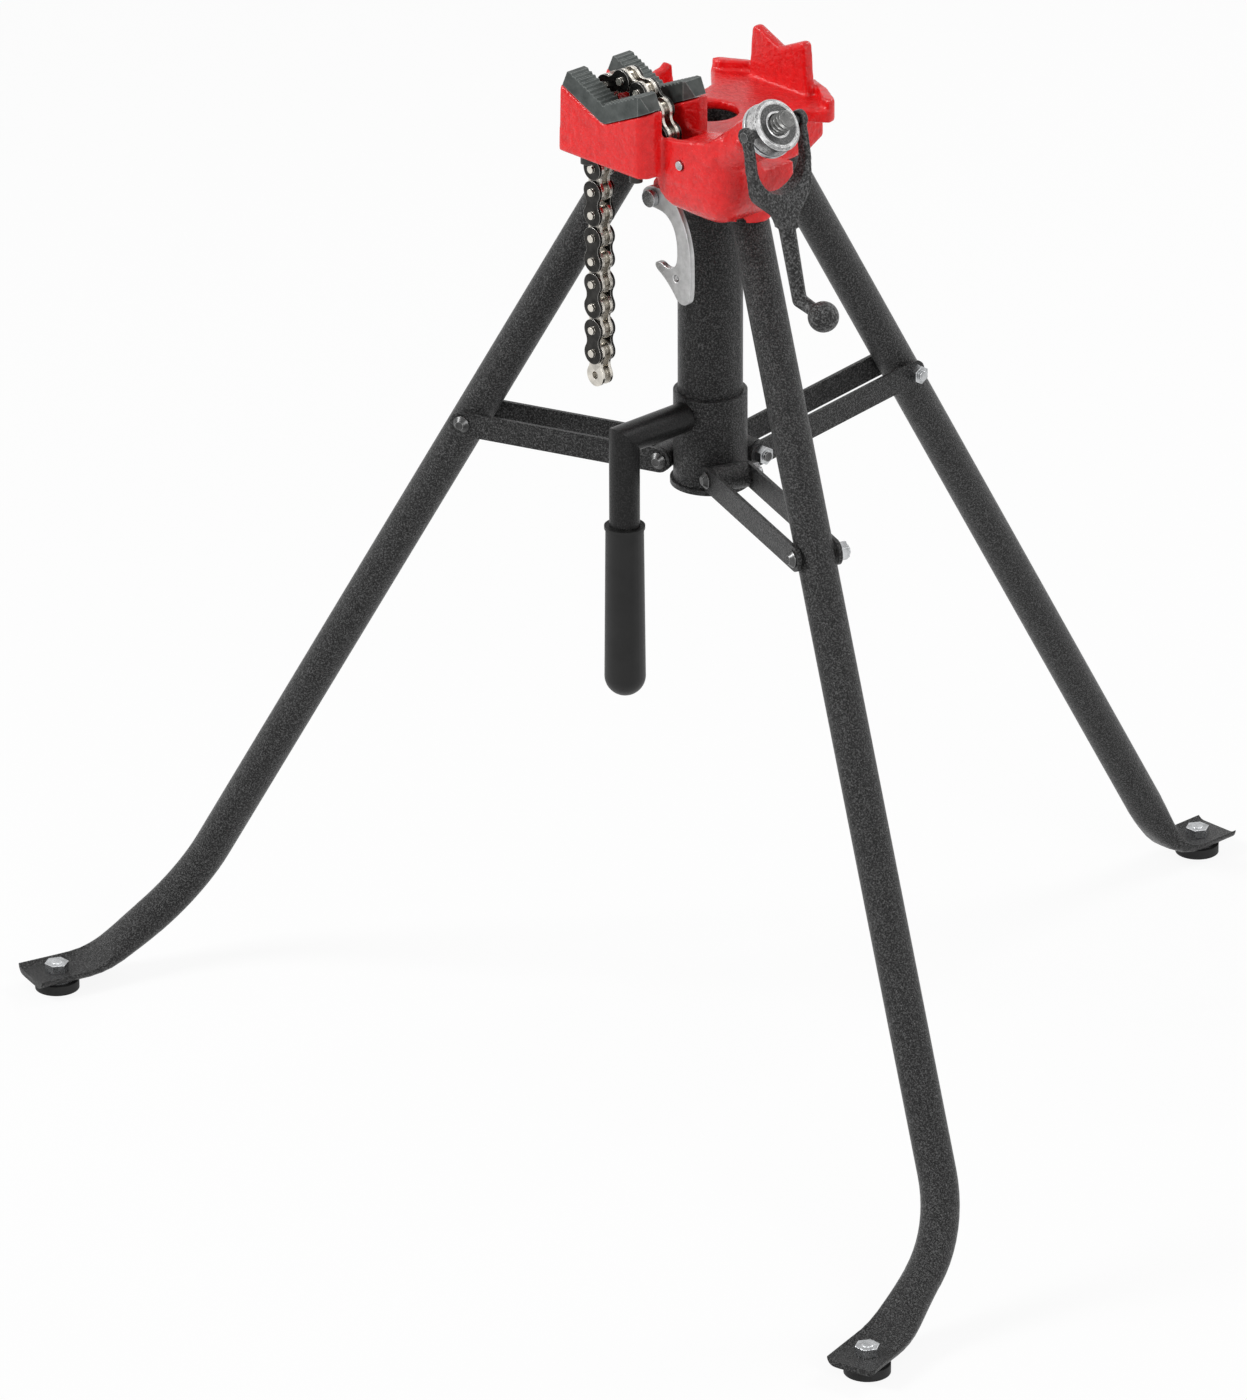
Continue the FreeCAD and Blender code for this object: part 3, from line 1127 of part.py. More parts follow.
# ---------------------------------------------------------------- chain

LAID = (120, 116, 114, 145, 164, 206, 236, 258, 268)
HANGING = 10


def chain_pins():
    """Pin centres from the clevis, over the nose between the jaws, then straight down."""
    points = [EYE]
    for turn in list(LAID) + [270] * HANGING:
        angle = math.radians(turn)
        points.append(points[-1] + Vector(math.cos(angle), 0, math.sin(angle)) * F.pitch)
    return points


def chain_plate(name):
    """One waisted side plate, lying flat, with a hole at each end."""
    body = doc.addObject("PartDesign::Body", name)
    round_r, waist, half = S.chain_plate_r, S.chain_waist_r, S.pitch / 2
    hollow = (half * half + waist * waist - round_r * round_r) / ((round_r - waist) * 2)
    share = round_r / (round_r + hollow)
    tx, ty = half * share, (waist + hollow) * share
    outline = [
        (tx, ty, round_r), (-round_r, 0, round_r), (tx, -ty, -hollow), (S.pitch - tx, -ty, round_r),
        (S.pitch + round_r, 0, round_r), (S.pitch - tx, ty, -hollow),
    ]
    pad(body, f"{name}_pad", outline, S.chain_plate_thick,
        holes=[(0, 0, S.chain_pin_d / 2), (S.pitch, 0, S.chain_pin_d / 2)])
    return body


def chain():
    outline_body = chain_plate("chain_plate")
    doc.recompute()
    flat = outline_body.Shape
    outline_body.Visibility = False
    thick, gap = F.chain_plate_thick, F.inner_half_gap
    outer_at = gap + thick + F.chain_side_gap
    bush = Part.makeCylinder(F.bush_od / 2, 2 * gap).cut(
        Part.makeCylinder(F.chain_pin_d / 2 + F.pin_play, 2 * gap))
    pin = Part.makeCylinder(F.chain_pin_d / 2, 2 * F.chain_pin_half)

    def stacked(shape, x, z):
        copy = shape.copy()
        copy.translate(Vector(x, 0, z))
        return copy

    inner_plate = flat.copy()
    for x in (0, F.pitch):
        drill = Part.makeCylinder(F.chain_pin_d / 2 + F.pin_play, thick, Vector(x, 0, 0))
        inner_plate = inner_plate.cut(drill)
    inner = Part.makeCompound([stacked(inner_plate, 0, gap), stacked(inner_plate, 0, -gap - thick),
                               stacked(bush, 0, -gap), stacked(bush, F.pitch, -gap)])
    outer = Part.makeCompound([stacked(flat, 0, outer_at), stacked(flat, 0, -outer_at - thick),
                               stacked(pin, 0, -F.chain_pin_half), stacked(pin, F.pitch, -F.chain_pin_half)])
    points = chain_pins()
    for number in range(len(points) - 1):
        run = points[number + 1] - points[number]
        made = doc.addObject("Part::Feature", f"chain_link_{number + 1:02d}")
        made.Shape = (outer if number % 2 else inner).copy()
        made.Placement = Placement(points[number], Rotation(run, Y_AXIS.cross(run) * -1, Y_AXIS * -1, "XYZ"))
        sub_part(f"chain_link_{number + 1:02d}", made)


def jaw_screws():
    """Socket screws that hold each jaw down, up through the casting's cheeks."""
    screws = []
    for name, x, y, floor in jaw_screw_spots():
        top = F.jaw_v_z + 3
        head = cylinder(f"jaw_screw_head_{name}", S.jaw_screw_d * 0.85, S.jaw_screw_d,
                        at_point(x, y, floor - F.jaw_screw_d))
        shank = cylinder(f"jaw_screw_shank_{name}", S.jaw_screw_d / 2, top - floor,
                         at_point(x, y, floor))
        screws.append(fuse(f"jaw_screw_{name}", [head, shank]))
    sub_part("jaw_screws", group("jaw_screws", screws))


# ---------------------------------------------------------------- build, check and write

head_casting()
jaws()
jaw_screws()
centre_tube()
collar()
handle()
legs()
leg_hinge_pins()
for side in LEGS:
    link_bars(side)
    link_bolts(side)
chain_screw()
screw_nut()
fork_handle()
latch()
chain()
doc.recompute()

stance = [made.Shape.BoundBox for label, made in sub_parts if label.endswith("_leg")]
stance_shift = -(min(box.YMin for box in stance) + max(box.YMax for box in stance)) / 2
for label, made in sub_parts:
    made.Placement = Placement(Vector(0, stance_shift, 0), Rotation()).multiply(made.Placement)
doc.recompute()

faults = [o.Label for o in doc.Objects if {"Invalid", "Error"} & set(o.State)]
for label, made in sub_parts:
    if made.Shape.isNull() or not made.Shape.isValid() or not made.Shape.Solids:
        faults.append(label)
if faults:
    raise RuntimeError(f"these objects failed: {faults}")

os.makedirs("parts", exist_ok=True)
for label, made in sub_parts:
    made.Shape.exportStep(f"parts/{label}.step")
print(f"{len(sub_parts)} sub-parts, stance shift {stance_shift:.3f} mm")
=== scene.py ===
import json
import math

import bmesh
import bpy
import numpy as np
from mathutils import Matrix, Vector


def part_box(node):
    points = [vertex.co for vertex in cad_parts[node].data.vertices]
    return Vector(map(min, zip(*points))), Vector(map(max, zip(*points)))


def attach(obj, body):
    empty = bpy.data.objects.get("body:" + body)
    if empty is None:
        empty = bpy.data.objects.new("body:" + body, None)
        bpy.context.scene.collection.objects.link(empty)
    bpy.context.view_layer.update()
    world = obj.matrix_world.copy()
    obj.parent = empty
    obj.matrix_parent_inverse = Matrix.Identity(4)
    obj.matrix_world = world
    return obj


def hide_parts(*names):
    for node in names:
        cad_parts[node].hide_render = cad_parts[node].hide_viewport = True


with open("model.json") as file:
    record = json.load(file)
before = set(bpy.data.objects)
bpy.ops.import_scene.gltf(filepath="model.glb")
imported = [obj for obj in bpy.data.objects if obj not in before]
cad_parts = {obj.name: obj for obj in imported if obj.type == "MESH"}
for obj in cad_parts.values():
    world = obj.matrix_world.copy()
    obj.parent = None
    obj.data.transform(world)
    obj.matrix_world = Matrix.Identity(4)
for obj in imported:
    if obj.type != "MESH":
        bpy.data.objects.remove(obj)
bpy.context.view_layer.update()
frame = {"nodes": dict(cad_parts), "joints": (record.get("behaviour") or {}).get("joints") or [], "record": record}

# ---------------------------------------------------------------------------
# Photograph's view. Pixels are those of a 1247 x 1400 picture.
# ---------------------------------------------------------------------------
PICTURE = (1247, 1400)
FOCAL_PX = 10760.0
OPTICAL_CENTRE = (710.31, 575.95)
VIEW_AZIMUTH = math.radians(45.79)
VIEW_HEIGHT = math.radians(23.59)
VIEW_DISTANCE = 8.416
VIEW_REACH = 100.0
SENSOR_MM = 36.0
TUBE_LOW, TUBE_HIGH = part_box("centre_tube")
TUBE_Y = (TUBE_LOW.y + TUBE_HIGH.y) / 2
AIM = Vector((0.0, TUBE_Y, 0.4208))
LIT_POINT = Vector((0.0, -0.1, 0.6))


def make_camera():
    """A long lens aimed through the picture's centre, without any lens shift."""
    back = Vector((math.sin(VIEW_AZIMUTH) * math.cos(VIEW_HEIGHT),
                   -math.cos(VIEW_AZIMUTH) * math.cos(VIEW_HEIGHT),
                   math.sin(VIEW_HEIGHT)))
    right = Vector((math.cos(VIEW_AZIMUTH), math.sin(VIEW_AZIMUTH), 0.0))
    up = back.cross(right)
    off_x = (PICTURE[0] / 2 - OPTICAL_CENTRE[0]) / FOCAL_PX
    off_y = (PICTURE[1] / 2 - OPTICAL_CENTRE[1]) / FOCAL_PX
    forward = (-back + right * off_x - up * off_y).normalized()
    side = forward.cross(up).normalized()
    top = side.cross(forward)
    data = bpy.data.cameras.new("camera")
    data.sensor_fit = "HORIZONTAL"
    data.sensor_width = SENSOR_MM
    data.lens = SENSOR_MM * FOCAL_PX / PICTURE[0]
    data.clip_end = VIEW_REACH
    camera = bpy.data.objects.new("camera", data)
    place = Matrix((side, top, -forward)).transposed().to_4x4()
    place.translation = AIM + back * VIEW_DISTANCE
    camera.matrix_world = place
    bpy.context.scene.collection.objects.link(camera)
    bpy.context.scene.camera = camera


def area_light(name, place, size, power):
    """A white soft box at place, turned to the upper part of the stand."""
    data = bpy.data.lights.new(name, "AREA")
    data.shape = "RECTANGLE"
    data.size, data.size_y = size
    data.energy = power
    lamp = bpy.data.objects.new(name, data)
    lamp.location = place
    aim = LIT_POINT - Vector(place)
    lamp.rotation_euler = aim.to_track_quat("-Z", "Y").to_euler()
    bpy.context.scene.collection.objects.link(lamp)


# ---------------------------------------------------------------------------
# Materials. Coordinates are metres, so a scale of 1000 gives millimetre grain.
# ---------------------------------------------------------------------------
BEVEL_SAMPLES = 6
NO_TURN = 0.995  # cosine above which a bevelled normal counts as the face's own


class Shader:
    """A material's node tree, with a short call for each kind of node."""

    def __init__(self, name):
        self.material = bpy.data.materials.new(name)
        self.material.use_nodes = True
        self.tree = self.material.node_tree
        self.tree.nodes.clear()
        self.out = self.tree.nodes.new("ShaderNodeOutputMaterial")
        self.body = self.tree.nodes.new("ShaderNodeBsdfPrincipled")
        self.tree.links.new(self.body.outputs[0], self.out.inputs["Surface"])
        self.place = self.tree.nodes.new("ShaderNodeTexCoord").outputs["Object"]

    def set(self, **values):
        for name, value in values.items():
            self.body.inputs[name.replace("_", " ")].default_value = value
        return self

    def link(self, source, target):
        self.tree.links.new(source, target)

    def noise(self, scale, detail=2.0, rough=0.5):
        node = self.tree.nodes.new("ShaderNodeTexNoise")
        node.inputs["Scale"].default_value = scale
        node.inputs["Detail"].default_value = detail
        node.inputs["Roughness"].default_value = rough
        self.link(self.place, node.inputs["Vector"])
        return node.outputs["Fac"]

    def ramp(self, source, *stops):
        node = self.tree.nodes.new("ShaderNodeValToRGB")
        ramp = node.color_ramp
        while len(ramp.elements) < len(stops):
            ramp.elements.new(0.5)
        for element, (position, colour) in zip(ramp.elements, stops):
            element.position = position
            element.color = (*colour, 1.0)
        self.link(source, node.inputs["Fac"])
        return node.outputs["Color"]

    def soft_edges(self, radius):
        """The normal as it would be if edges were rounded over radius."""
        bevel = self.tree.nodes.new("ShaderNodeBevel")
        bevel.samples = BEVEL_SAMPLES
        bevel.inputs["Radius"].default_value = radius
        return bevel.outputs["Normal"]

    def edges(self, radius, sharp=0.10):
        """0 on open faces and 1 along edges, from the turn of a bevelled normal."""
        plain = self.tree.nodes.new("ShaderNodeNewGeometry")
        turn = self.tree.nodes.new("ShaderNodeVectorMath")
        turn.operation = "DOT_PRODUCT"
        self.link(self.soft_edges(radius), turn.inputs[0])
        self.link(plain.outputs["Normal"], turn.inputs[1])
        return self.span(turn.outputs["Value"], 1.0, 0.0, 1.0 - sharp, NO_TURN)

    def mix(self, share, low, high):
        """Colour low where share is 0 and high where it is 1."""
        node = self.tree.nodes.new("ShaderNodeMix")
        node.data_type = "RGBA"
        self.link(share, node.inputs["Factor"])
        for socket, value in ((node.inputs[6], low), (node.inputs[7], high)):
            if isinstance(value, tuple):
                socket.default_value = (*value, 1.0)
            else:
                self.link(value, socket)
        return node.outputs[2]

    def times(self, first, second):
        node = self.tree.nodes.new("ShaderNodeMath")
        node.operation = "MULTIPLY"
        self.link(first, node.inputs[0])
        self.link(second, node.inputs[1])
        return node.outputs[0]

    def span(self, source, low, high, from_low=0.3, from_high=0.7):
        node = self.tree.nodes.new("ShaderNodeMapRange")
        node.inputs["From Min"].default_value = from_low
        node.inputs["From Max"].default_value = from_high
        node.inputs["To Min"].default_value = low
        node.inputs["To Max"].default_value = high
        self.link(source, node.inputs["Value"])
        return node.outputs["Result"]

    def bump(self, source, depth, strength=1.0, below=None):
        node = self.tree.nodes.new("ShaderNodeBump")
        node.inputs["Distance"].default_value = depth
        node.inputs["Strength"].default_value = strength
        self.link(source, node.inputs["Height"])
        if below is not None:
            self.link(below, node.inputs["Normal"])
        return node.outputs["Normal"]

    def colour(self, source):
        self.link(source, self.body.inputs["Base Color"])
        return self

    def rough(self, source):
        self.link(source, self.body.inputs["Roughness"])
        return self

    def normal(self, source):
        self.link(source, self.body.inputs["Normal"])
        return self


def grey(value, tint=(1.0, 1.0, 1.0)):
    return tuple(value * share for share in tint)


def cast_red():
    """Gloss enamel over a sand casting: lumps a few millimetres wide under fine orange peel, with pale flecks on
    the peel's peaks painted in as highlight sparkle.
    """
    mat = Shader("cast_red").set(Specular_IOR_Level=0.34, Coat_Weight=0.08, Coat_Roughness=0.10)
    lumps = mat.noise(190.0, 3.0, 0.55)
    peel = mat.noise(620.0, 3.0, 0.6)
    shade = mat.ramp(lumps, (0.25, (0.60, 0.0045, 0.0060)), (0.75, (0.80, 0.0100, 0.0110)))
    # the pale pink flecks on the peel's peaks are painted highlight sparkle, not a colour of the enamel
    painted_sparkle = mat.span(peel, 0.0, 0.22, 0.56, 0.76)
    mat.colour(mat.mix(painted_sparkle, shade, (1.00, 0.085, 0.080)))
    mat.rough(mat.span(peel, 0.12, 0.28))
    mat.normal(mat.bump(peel, 0.00048, 0.85, mat.bump(lumps, 0.0016, 0.8)))
    return mat.material


def jaw_steel():
    """Hardened steel, dark and slightly green, with bright edges, partly rubbed bare and partly painted highlight.
    """
    mat = Shader("jaw_steel").set(Metallic=0.75, Specular_IOR_Level=0.4)
    grain = mat.noise(600.0, 4.0, 0.65)
    patch = mat.noise(110.0, 3.0, 0.6)
    # the edge mask brightens the edges: partly rubbed-bare steel, partly painted edge highlight
    worn = mat.times(mat.edges(0.0011), mat.span(grain, 0.2, 0.9))
    shade = mat.ramp(patch, (0.3, (0.050, 0.057, 0.055)), (0.7, (0.100, 0.110, 0.106)))
    mat.colour(mat.mix(worn, shade, (0.34, 0.36, 0.35)))
    mat.rough(mat.span(grain, 0.34, 0.58))
    mat.normal(mat.bump(grain, 0.00022, 0.7))
    return mat.material


def powder(name, base, glint, scale, depth, rough, shine):
    """Textured powder coat: close small blisters, some of them painted bright as highlights."""
    mat = Shader(name).set(Specular_IOR_Level=shine)
    grain = mat.noise(scale, 3.0, 0.62)
    fine = mat.noise(scale * 2.3, 2.0, 0.6)
    drift = mat.noise(22.0, 2.0, 0.5)
    shade = mat.ramp(drift, (0.3, grey(base * 0.7)), (0.7, grey(base * 1.2)))
    # grains above the threshold take the glint colour, a painted highlight on the blisters
    mat.colour(mat.mix(mat.span(grain, 0.0, 1.0, 0.46, 0.70), shade, grey(glint)))
    mat.rough(mat.span(fine, rough - 0.08, rough + 0.14))
    mat.normal(mat.bump(fine, depth * 0.3, 0.6, mat.bump(grain, depth, 1.0)))
    return mat.material


def vinyl():
    """Dipped vinyl: matt black with a faint skin grain and long soft streaks."""
    mat = Shader("vinyl").set(Specular_IOR_Level=0.30)
    grain = mat.noise(1100.0, 2.0, 0.6)
    mat.colour(mat.ramp(mat.noise(45.0), (0.3, grey(0.006)), (0.7, grey(0.011))))
    mat.rough(mat.span(grain, 0.36, 0.50))
    mat.normal(mat.bump(grain, 0.00009, 0.5, mat.bump(mat.noise(60.0), 0.0005, 0.4)))
    return mat.material


def metal(name, low, high, rough, rubbed, tint=(1.0, 1.0, 1.0), amount=1.0, edge=0.0006):
    """Plated or bare metal: patchy tone, fine grain and brighter edges, partly rubbed and partly painted
    highlight.
    """
    mat = Shader(name).set(Metallic=amount)
    patch = mat.noise(140.0, 4.0, 0.6)
    grain = mat.noise(800.0, 3.0, 0.6)
    shade = mat.ramp(patch, (0.3, grey(low, tint)), (0.7, grey(high, tint)))
    # rubbed is the edge colour: partly rubbed metal, partly painted edge highlight
    mat.colour(mat.mix(mat.edges(edge), shade, grey(rubbed, tint)))
    mat.rough(mat.span(grain, rough - 0.07, rough + 0.11))
    mat.normal(mat.bump(grain, 0.00006, 0.6, mat.soft_edges(edge * 0.7)))
    return mat.material


def rubber():
    mat = Shader("pad_rubber").set(Specular_IOR_Level=0.35)
    grain = mat.noise(900.0, 3.0, 0.6)
    mat.colour(mat.ramp(mat.noise(60.0), (0.3, grey(0.007)), (0.7, grey(0.013))))
    mat.rough(mat.span(grain, 0.6, 0.78))
    mat.normal(mat.bump(grain, 0.00010, 0.6))
    return mat.material


def nut_zinc():
    """Zinc plate, bright on turned faces, with dark grained patches between, and a painted highlight along the
    rims.
    """
    mat = Shader("nut_zinc").set(Metallic=1.0)
    grain = mat.noise(520.0, 4.0, 0.7)
    patch = mat.noise(150.0, 4.0, 0.65)
    shade = mat.ramp(patch, (0.36, grey(0.26)), (0.64, grey(0.66)))
    shade = mat.mix(mat.span(grain, 0.0, 0.90, 0.53, 0.64), shade, grey(0.05))
    # the rims are painted near white as a highlight
    mat.colour(mat.mix(mat.edges(0.0009, sharp=0.06), shade, grey(0.94)))
    mat.rough(mat.span(grain, 0.20, 0.42))
    mat.normal(mat.bump(grain, 0.00018, 0.7))
    return mat.material


WARM = (1.0, 0.95, 0.86)
# In metal rows the fifth value is the edge colour, partly rubbed metal and partly painted highlight; in powder
# rows the third value is the grains' painted highlight.
FINISHES = {
    "cast_red": cast_red(),
    "jaw_steel": jaw_steel(),
    "black_coat": powder("black_coat", 0.0032, 0.120, 800.0, 0.0011, 0.30, 0.22),
    "black_satin": powder("black_satin", 0.0045, 0.030, 900.0, 0.00022, 0.30, 0.22),
    "vinyl": vinyl(),
    "black_oxide": metal("black_oxide", 0.03, 0.06, 0.34, 0.3, (1.0, 0.97, 0.93), 0.8),
    "zinc": metal("zinc", 0.30, 0.62, 0.28, 0.85, (0.98, 1.0, 1.02)),
    "screw_steel": metal("screw_steel", 0.09, 0.20, 0.30, 0.6, (1.0, 1.0, 0.98), edge=0.0003),
    "fork_iron": powder("fork_iron", 0.0040, 0.170, 560.0, 0.0013, 0.28, 0.26),
    "hook_alloy": metal("hook_alloy", 0.40, 0.58, 0.40, 0.85, edge=0.0009),
    "pad_rubber": rubber(),
    "chain_dark": metal("chain_dark", 0.018, 0.05, 0.30, 0.42, (1.0, 0.97, 0.92)),
    "chain_bright": metal("chain_bright", 0.36, 0.60, 0.26, 0.85, WARM),
    "nut_zinc": nut_zinc(),
    "nut_face": powder("nut_face", 0.020, 0.16, 900.0, 0.0006, 0.34, 0.5),
    "pin_bright": metal("pin_bright", 0.50, 0.78, 0.24, 0.9, WARM, edge=0.0004),
    "bolt_dark": metal("bolt_dark", 0.045, 0.11, 0.26, 0.5, amount=0.9),
}
BODY_OF = {node: body for body, nodes in frame["record"]["behaviour"]["bodies"].items()
           for node in nodes}
SLOT_OF = {row["node"]: row["material_slot"] for row in frame["record"]["subparts"]}
NUT_JOINT = next(joint for joint in frame["joints"] if joint["name"] == "nut_turn")
SCREW_AXIS = -Vector(NUT_JOINT["axis"]).normalized()
NUT_MIDDLE = Vector(NUT_JOINT["pos_m"])
SAME_POINT = 1e-6  # vertices closer than this are one

for node, slot_name in SLOT_OF.items():
    for slot in frame["nodes"][node].material_slots:
        slot.material = FINISHES["bolt_dark" if node == "fork_pins" else slot_name]


# ---------------------------------------------------------------------------
# Pieces that stand for CAD nodes with the skin, thread or finish of the real thing.
# ---------------------------------------------------------------------------
def new_piece(name, mesh, node, *materials):
    """A mesh in the row frame that rides where node does and stands for it."""
    mesh.materials.clear()
    for material in materials or (SLOT_OF[node],):
        mesh.materials.append(FINISHES[material])
    piece = bpy.data.objects.new(name, mesh)
    bpy.context.scene.collection.objects.link(piece)
    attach(piece, BODY_OF[node])
    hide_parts(node)
    return piece


def places(mesh):
    place = np.empty(len(mesh.vertices) * 3)
    mesh.vertices.foreach_get("co", place)
    return place.reshape(-1, 3)


def move_to(mesh, place):
    mesh.vertices.foreach_set("co", place.ravel())
    mesh.update()


def rubbed(mesh, rounds, share=None):
    """Moves each vertex towards its neighbours' mean; share is how far, per vertex."""
    count = len(mesh.vertices)
    place = places(mesh)
    ends = np.empty(len(mesh.edges) * 2, dtype=np.int64)
    mesh.edges.foreach_get("vertices", ends)
    a, b = ends.reshape(-1, 2).T
    degree = np.bincount(ends, minlength=count).astype(float)
    for _ in range(rounds):
        total = np.stack([np.bincount(a, place[b, k], count) + np.bincount(b, place[a, k], count)
                          for k in range(3)], axis=1)
        step = total / np.maximum(degree, 1.0)[:, None] - place
        place = place + step * (0.5 if share is None else 0.5 * share(place)[:, None])
    move_to(mesh, place)


def worked_out(data, voxel=None):
    """The mesh of a curve, or of a mesh under one even skin of voxel-sized quads."""
    work = bpy.data.objects.new("work", data)
    bpy.context.scene.collection.objects.link(work)
    if voxel:
        skin = work.modifiers.new("skin", "REMESH")
        skin.mode = "VOXEL"
        skin.voxel_size = voxel
    graph = bpy.context.evaluated_depsgraph_get()
    mesh = bpy.data.meshes.new_from_object(work.evaluated_get(graph))
    bpy.data.objects.remove(work)
    return mesh


def kept_inside(mesh, node):
    """Smooth shading, and no vertex outside the CAD node's own box."""
    low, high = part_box(node)
    move_to(mesh, np.clip(places(mesh), np.array(low), np.array(high)))
    mesh.shade_smooth()


BORE_KEPT = 0.017  # the head stays as it is this near to the screw's axis,
BORE_FADE = 0.006  # and is rubbed in full this much further out


def near(value, low, high, blend):
    """1 between low and high, falling to 0 over blend outside them."""
    return np.clip(np.minimum(value - low, high - value) / blend + 1.0, 0.0, 1.0)


def neck_of_hub(place):
    """1 on the hub between the arm and the latch, below the deck."""
    x, y, z = place[:, 0], place[:, 1] - TUBE_Y, place[:, 2]
    side = near(x, -0.034, 0.012, 0.008) * near(y, -0.110, -0.045, 0.008)
    return side * near(z, 0.700, TUBE_HIGH.z - 0.030, 0.006)


def bowl_of_hub(place):
    """1 on the bowl below the screw's barrel, 0 in and close to the screw's bore."""
    x, y, z = place[:, 0], place[:, 1] - TUBE_Y, place[:, 2]
    away = place - np.array(NUT_MIDDLE)
    along = away @ np.array(SCREW_AXIS)
    from_bore = np.sqrt(np.maximum((away ** 2).sum(axis=1) - along ** 2, 0.0)) - BORE_KEPT
    side = near(x, 0.052, 0.118, 0.010) * near(y, -0.125, -0.074, 0.010)
    return side * near(z, 0.745, 0.796, 0.008) * np.clip(from_bore / BORE_FADE, 0.0, 1.0)


def skinned_piece(name, node, voxel, rounds):
    """A CAD node under one skin whose edges are rubbed round, by (rounds, share) in turn."""
    mesh = worked_out(frame["nodes"][node].data.copy(), voxel)
    for count, share in rounds:
        rubbed(mesh, count, share)
    kept_inside(mesh, node)
    new_piece(name, mesh, node)


def off_axis(turn):
    """The direction square to the screw's axis at a share of a full turn."""
    side = SCREW_AXIS.orthogonal().normalized()
    up = SCREW_AXIS.cross(side)
    return side * math.cos(math.tau * turn) + up * math.sin(math.tau * turn)


def joined(bm, first, second):
    """Quads between two closed rings of vertices."""
    count = len(first)
    for k in range(count):
        n = (k + 1) % count
        bm.faces.new((first[k], first[n], second[n], second[k]))


def finished(bm, name):
    mesh = bpy.data.meshes.new(name)
    bm.to_mesh(mesh)
    bm.free()
    return mesh


def smooth_by_angle(mesh, degrees):
    """Smooth faces, with edges that turn more than degrees kept sharp."""
    mesh.shade_smooth()
    bm = bmesh.new()
    bm.from_mesh(mesh)
    limit = math.radians(degrees)
    for edge in bm.edges:
        edge.smooth = len(edge.link_faces) == 2 and edge.calc_face_angle(0.0) < limit
    bm.to_mesh(mesh)
    bm.free()


NUT_SIDES = 96
THREAD_SIDES = 56
THREAD_STEP = 0.00032    # between rings, along the screw
THREAD_RUN_IN = 0.003    # over which the groove deepens
THREAD_CREST = 0.28      # share of half a pitch that stays at full radius
THREAD_FLANK = 0.48      # share of half a pitch that slopes to the root
TIP_CHAMFER = 0.0018
TIP_SLOPE = 0.9


def faced_nut(low, high, radius, bore):
    """The tightening nut: bevelled rims, a dished face and a countersunk bore."""
    profile = [(low + 0.0008, bore), (low, bore + 0.0009), (low, radius - 0.0016),
               (low + 0.0016, radius), (high - 0.0021, radius), (high - 0.0004, radius - 0.0019),
               (high, radius - 0.0023), (high, radius - 0.0038), (high - 0.0007, radius - 0.0046),
               (high - 0.0007, bore + 0.0028), (high - 0.0002, bore + 0.0022),
               (high - 0.0002, bore + 0.0011), (high - 0.0012, bore)]
    bm = bmesh.new()
    rings = [[bm.verts.new(NUT_MIDDLE + SCREW_AXIS * along + off_axis(i / NUT_SIDES) * out)
              for along, out in profile] for i in range(NUT_SIDES)]
    for i in range(NUT_SIDES):
        joined(bm, rings[i], rings[(i + 1) % NUT_SIDES])
    bmesh.ops.recalc_face_normals(bm, faces=bm.faces)
    mesh = finished(bm, "faced_nut")
    smooth_by_angle(mesh, 28.0)
    piece = new_piece("faced_nut", mesh, "screw_nut", "nut_zinc", "nut_face")
    for face in piece.data.polygons:
        away = face.center - NUT_MIDDLE
        along = away.dot(SCREW_AXIS)
        out = (away - SCREW_AXIS * along).length
        if along > high - 0.0009 and bore + 0.0028 < out < radius - 0.0044:
            face.material_index = 1


def threaded_screw(start, end, major, pitch, depth):
    """The tightening screw: its slotted eye from the CAD solid, then a cut thread to the end.

    start and end are along the screw's axis, from the middle of the nut.
    """
    bm = bmesh.new()
    bm.from_mesh(frame["nodes"]["chain_screw"].data)
    bmesh.ops.remove_doubles(bm, verts=bm.verts, dist=SAME_POINT)
    bmesh.ops.bisect_plane(bm, geom=bm.verts[:] + bm.edges[:] + bm.faces[:],
                           plane_co=NUT_MIDDLE + SCREW_AXIS * start, plane_no=SCREW_AXIS,
                           clear_outer=True)
    bmesh.ops.holes_fill(bm, edges=[edge for edge in bm.edges if edge.is_boundary])
    count = int((end - start) / THREAD_STEP)
    rings = []
    for i in range(count + 1):
        along = start + (end - start) * i / count
        run_in = min((along - start) / THREAD_RUN_IN, 1.0)
        chamfered = major - TIP_CHAMFER + max(end - along, 0.0) * TIP_SLOPE
        ring = []
        for k in range(THREAD_SIDES):
            turn = k / THREAD_SIDES
            wave = abs(((along / pitch - turn) % 1.0) * 2.0 - 1.0)
            groove = min(max((wave - THREAD_CREST) / THREAD_FLANK, 0.0), 1.0) * run_in
            radius = min(major - depth * groove, chamfered)
            ring.append(bm.verts.new(NUT_MIDDLE + SCREW_AXIS * along + off_axis(turn) * radius))
        rings.append(ring)
    for first, second in zip(rings, rings[1:]):
        joined(bm, first, second)
    bm.faces.new(rings[0][::-1])
    tip = bm.verts.new(NUT_MIDDLE + SCREW_AXIS * end)
    for k in range(THREAD_SIDES):
        bm.faces.new((rings[-1][k], rings[-1][(k + 1) % THREAD_SIDES], tip))
    mesh = finished(bm, "threaded_screw")
    smooth_by_angle(mesh, 40.0)
    new_piece("threaded_screw", mesh, "chain_screw")


ON_THE_END = 1e-5
PIN_END_AREA = 2.2e-5
HEAD_FACES = 400  # a domed head with its shank has more faces than this, a nut fewer


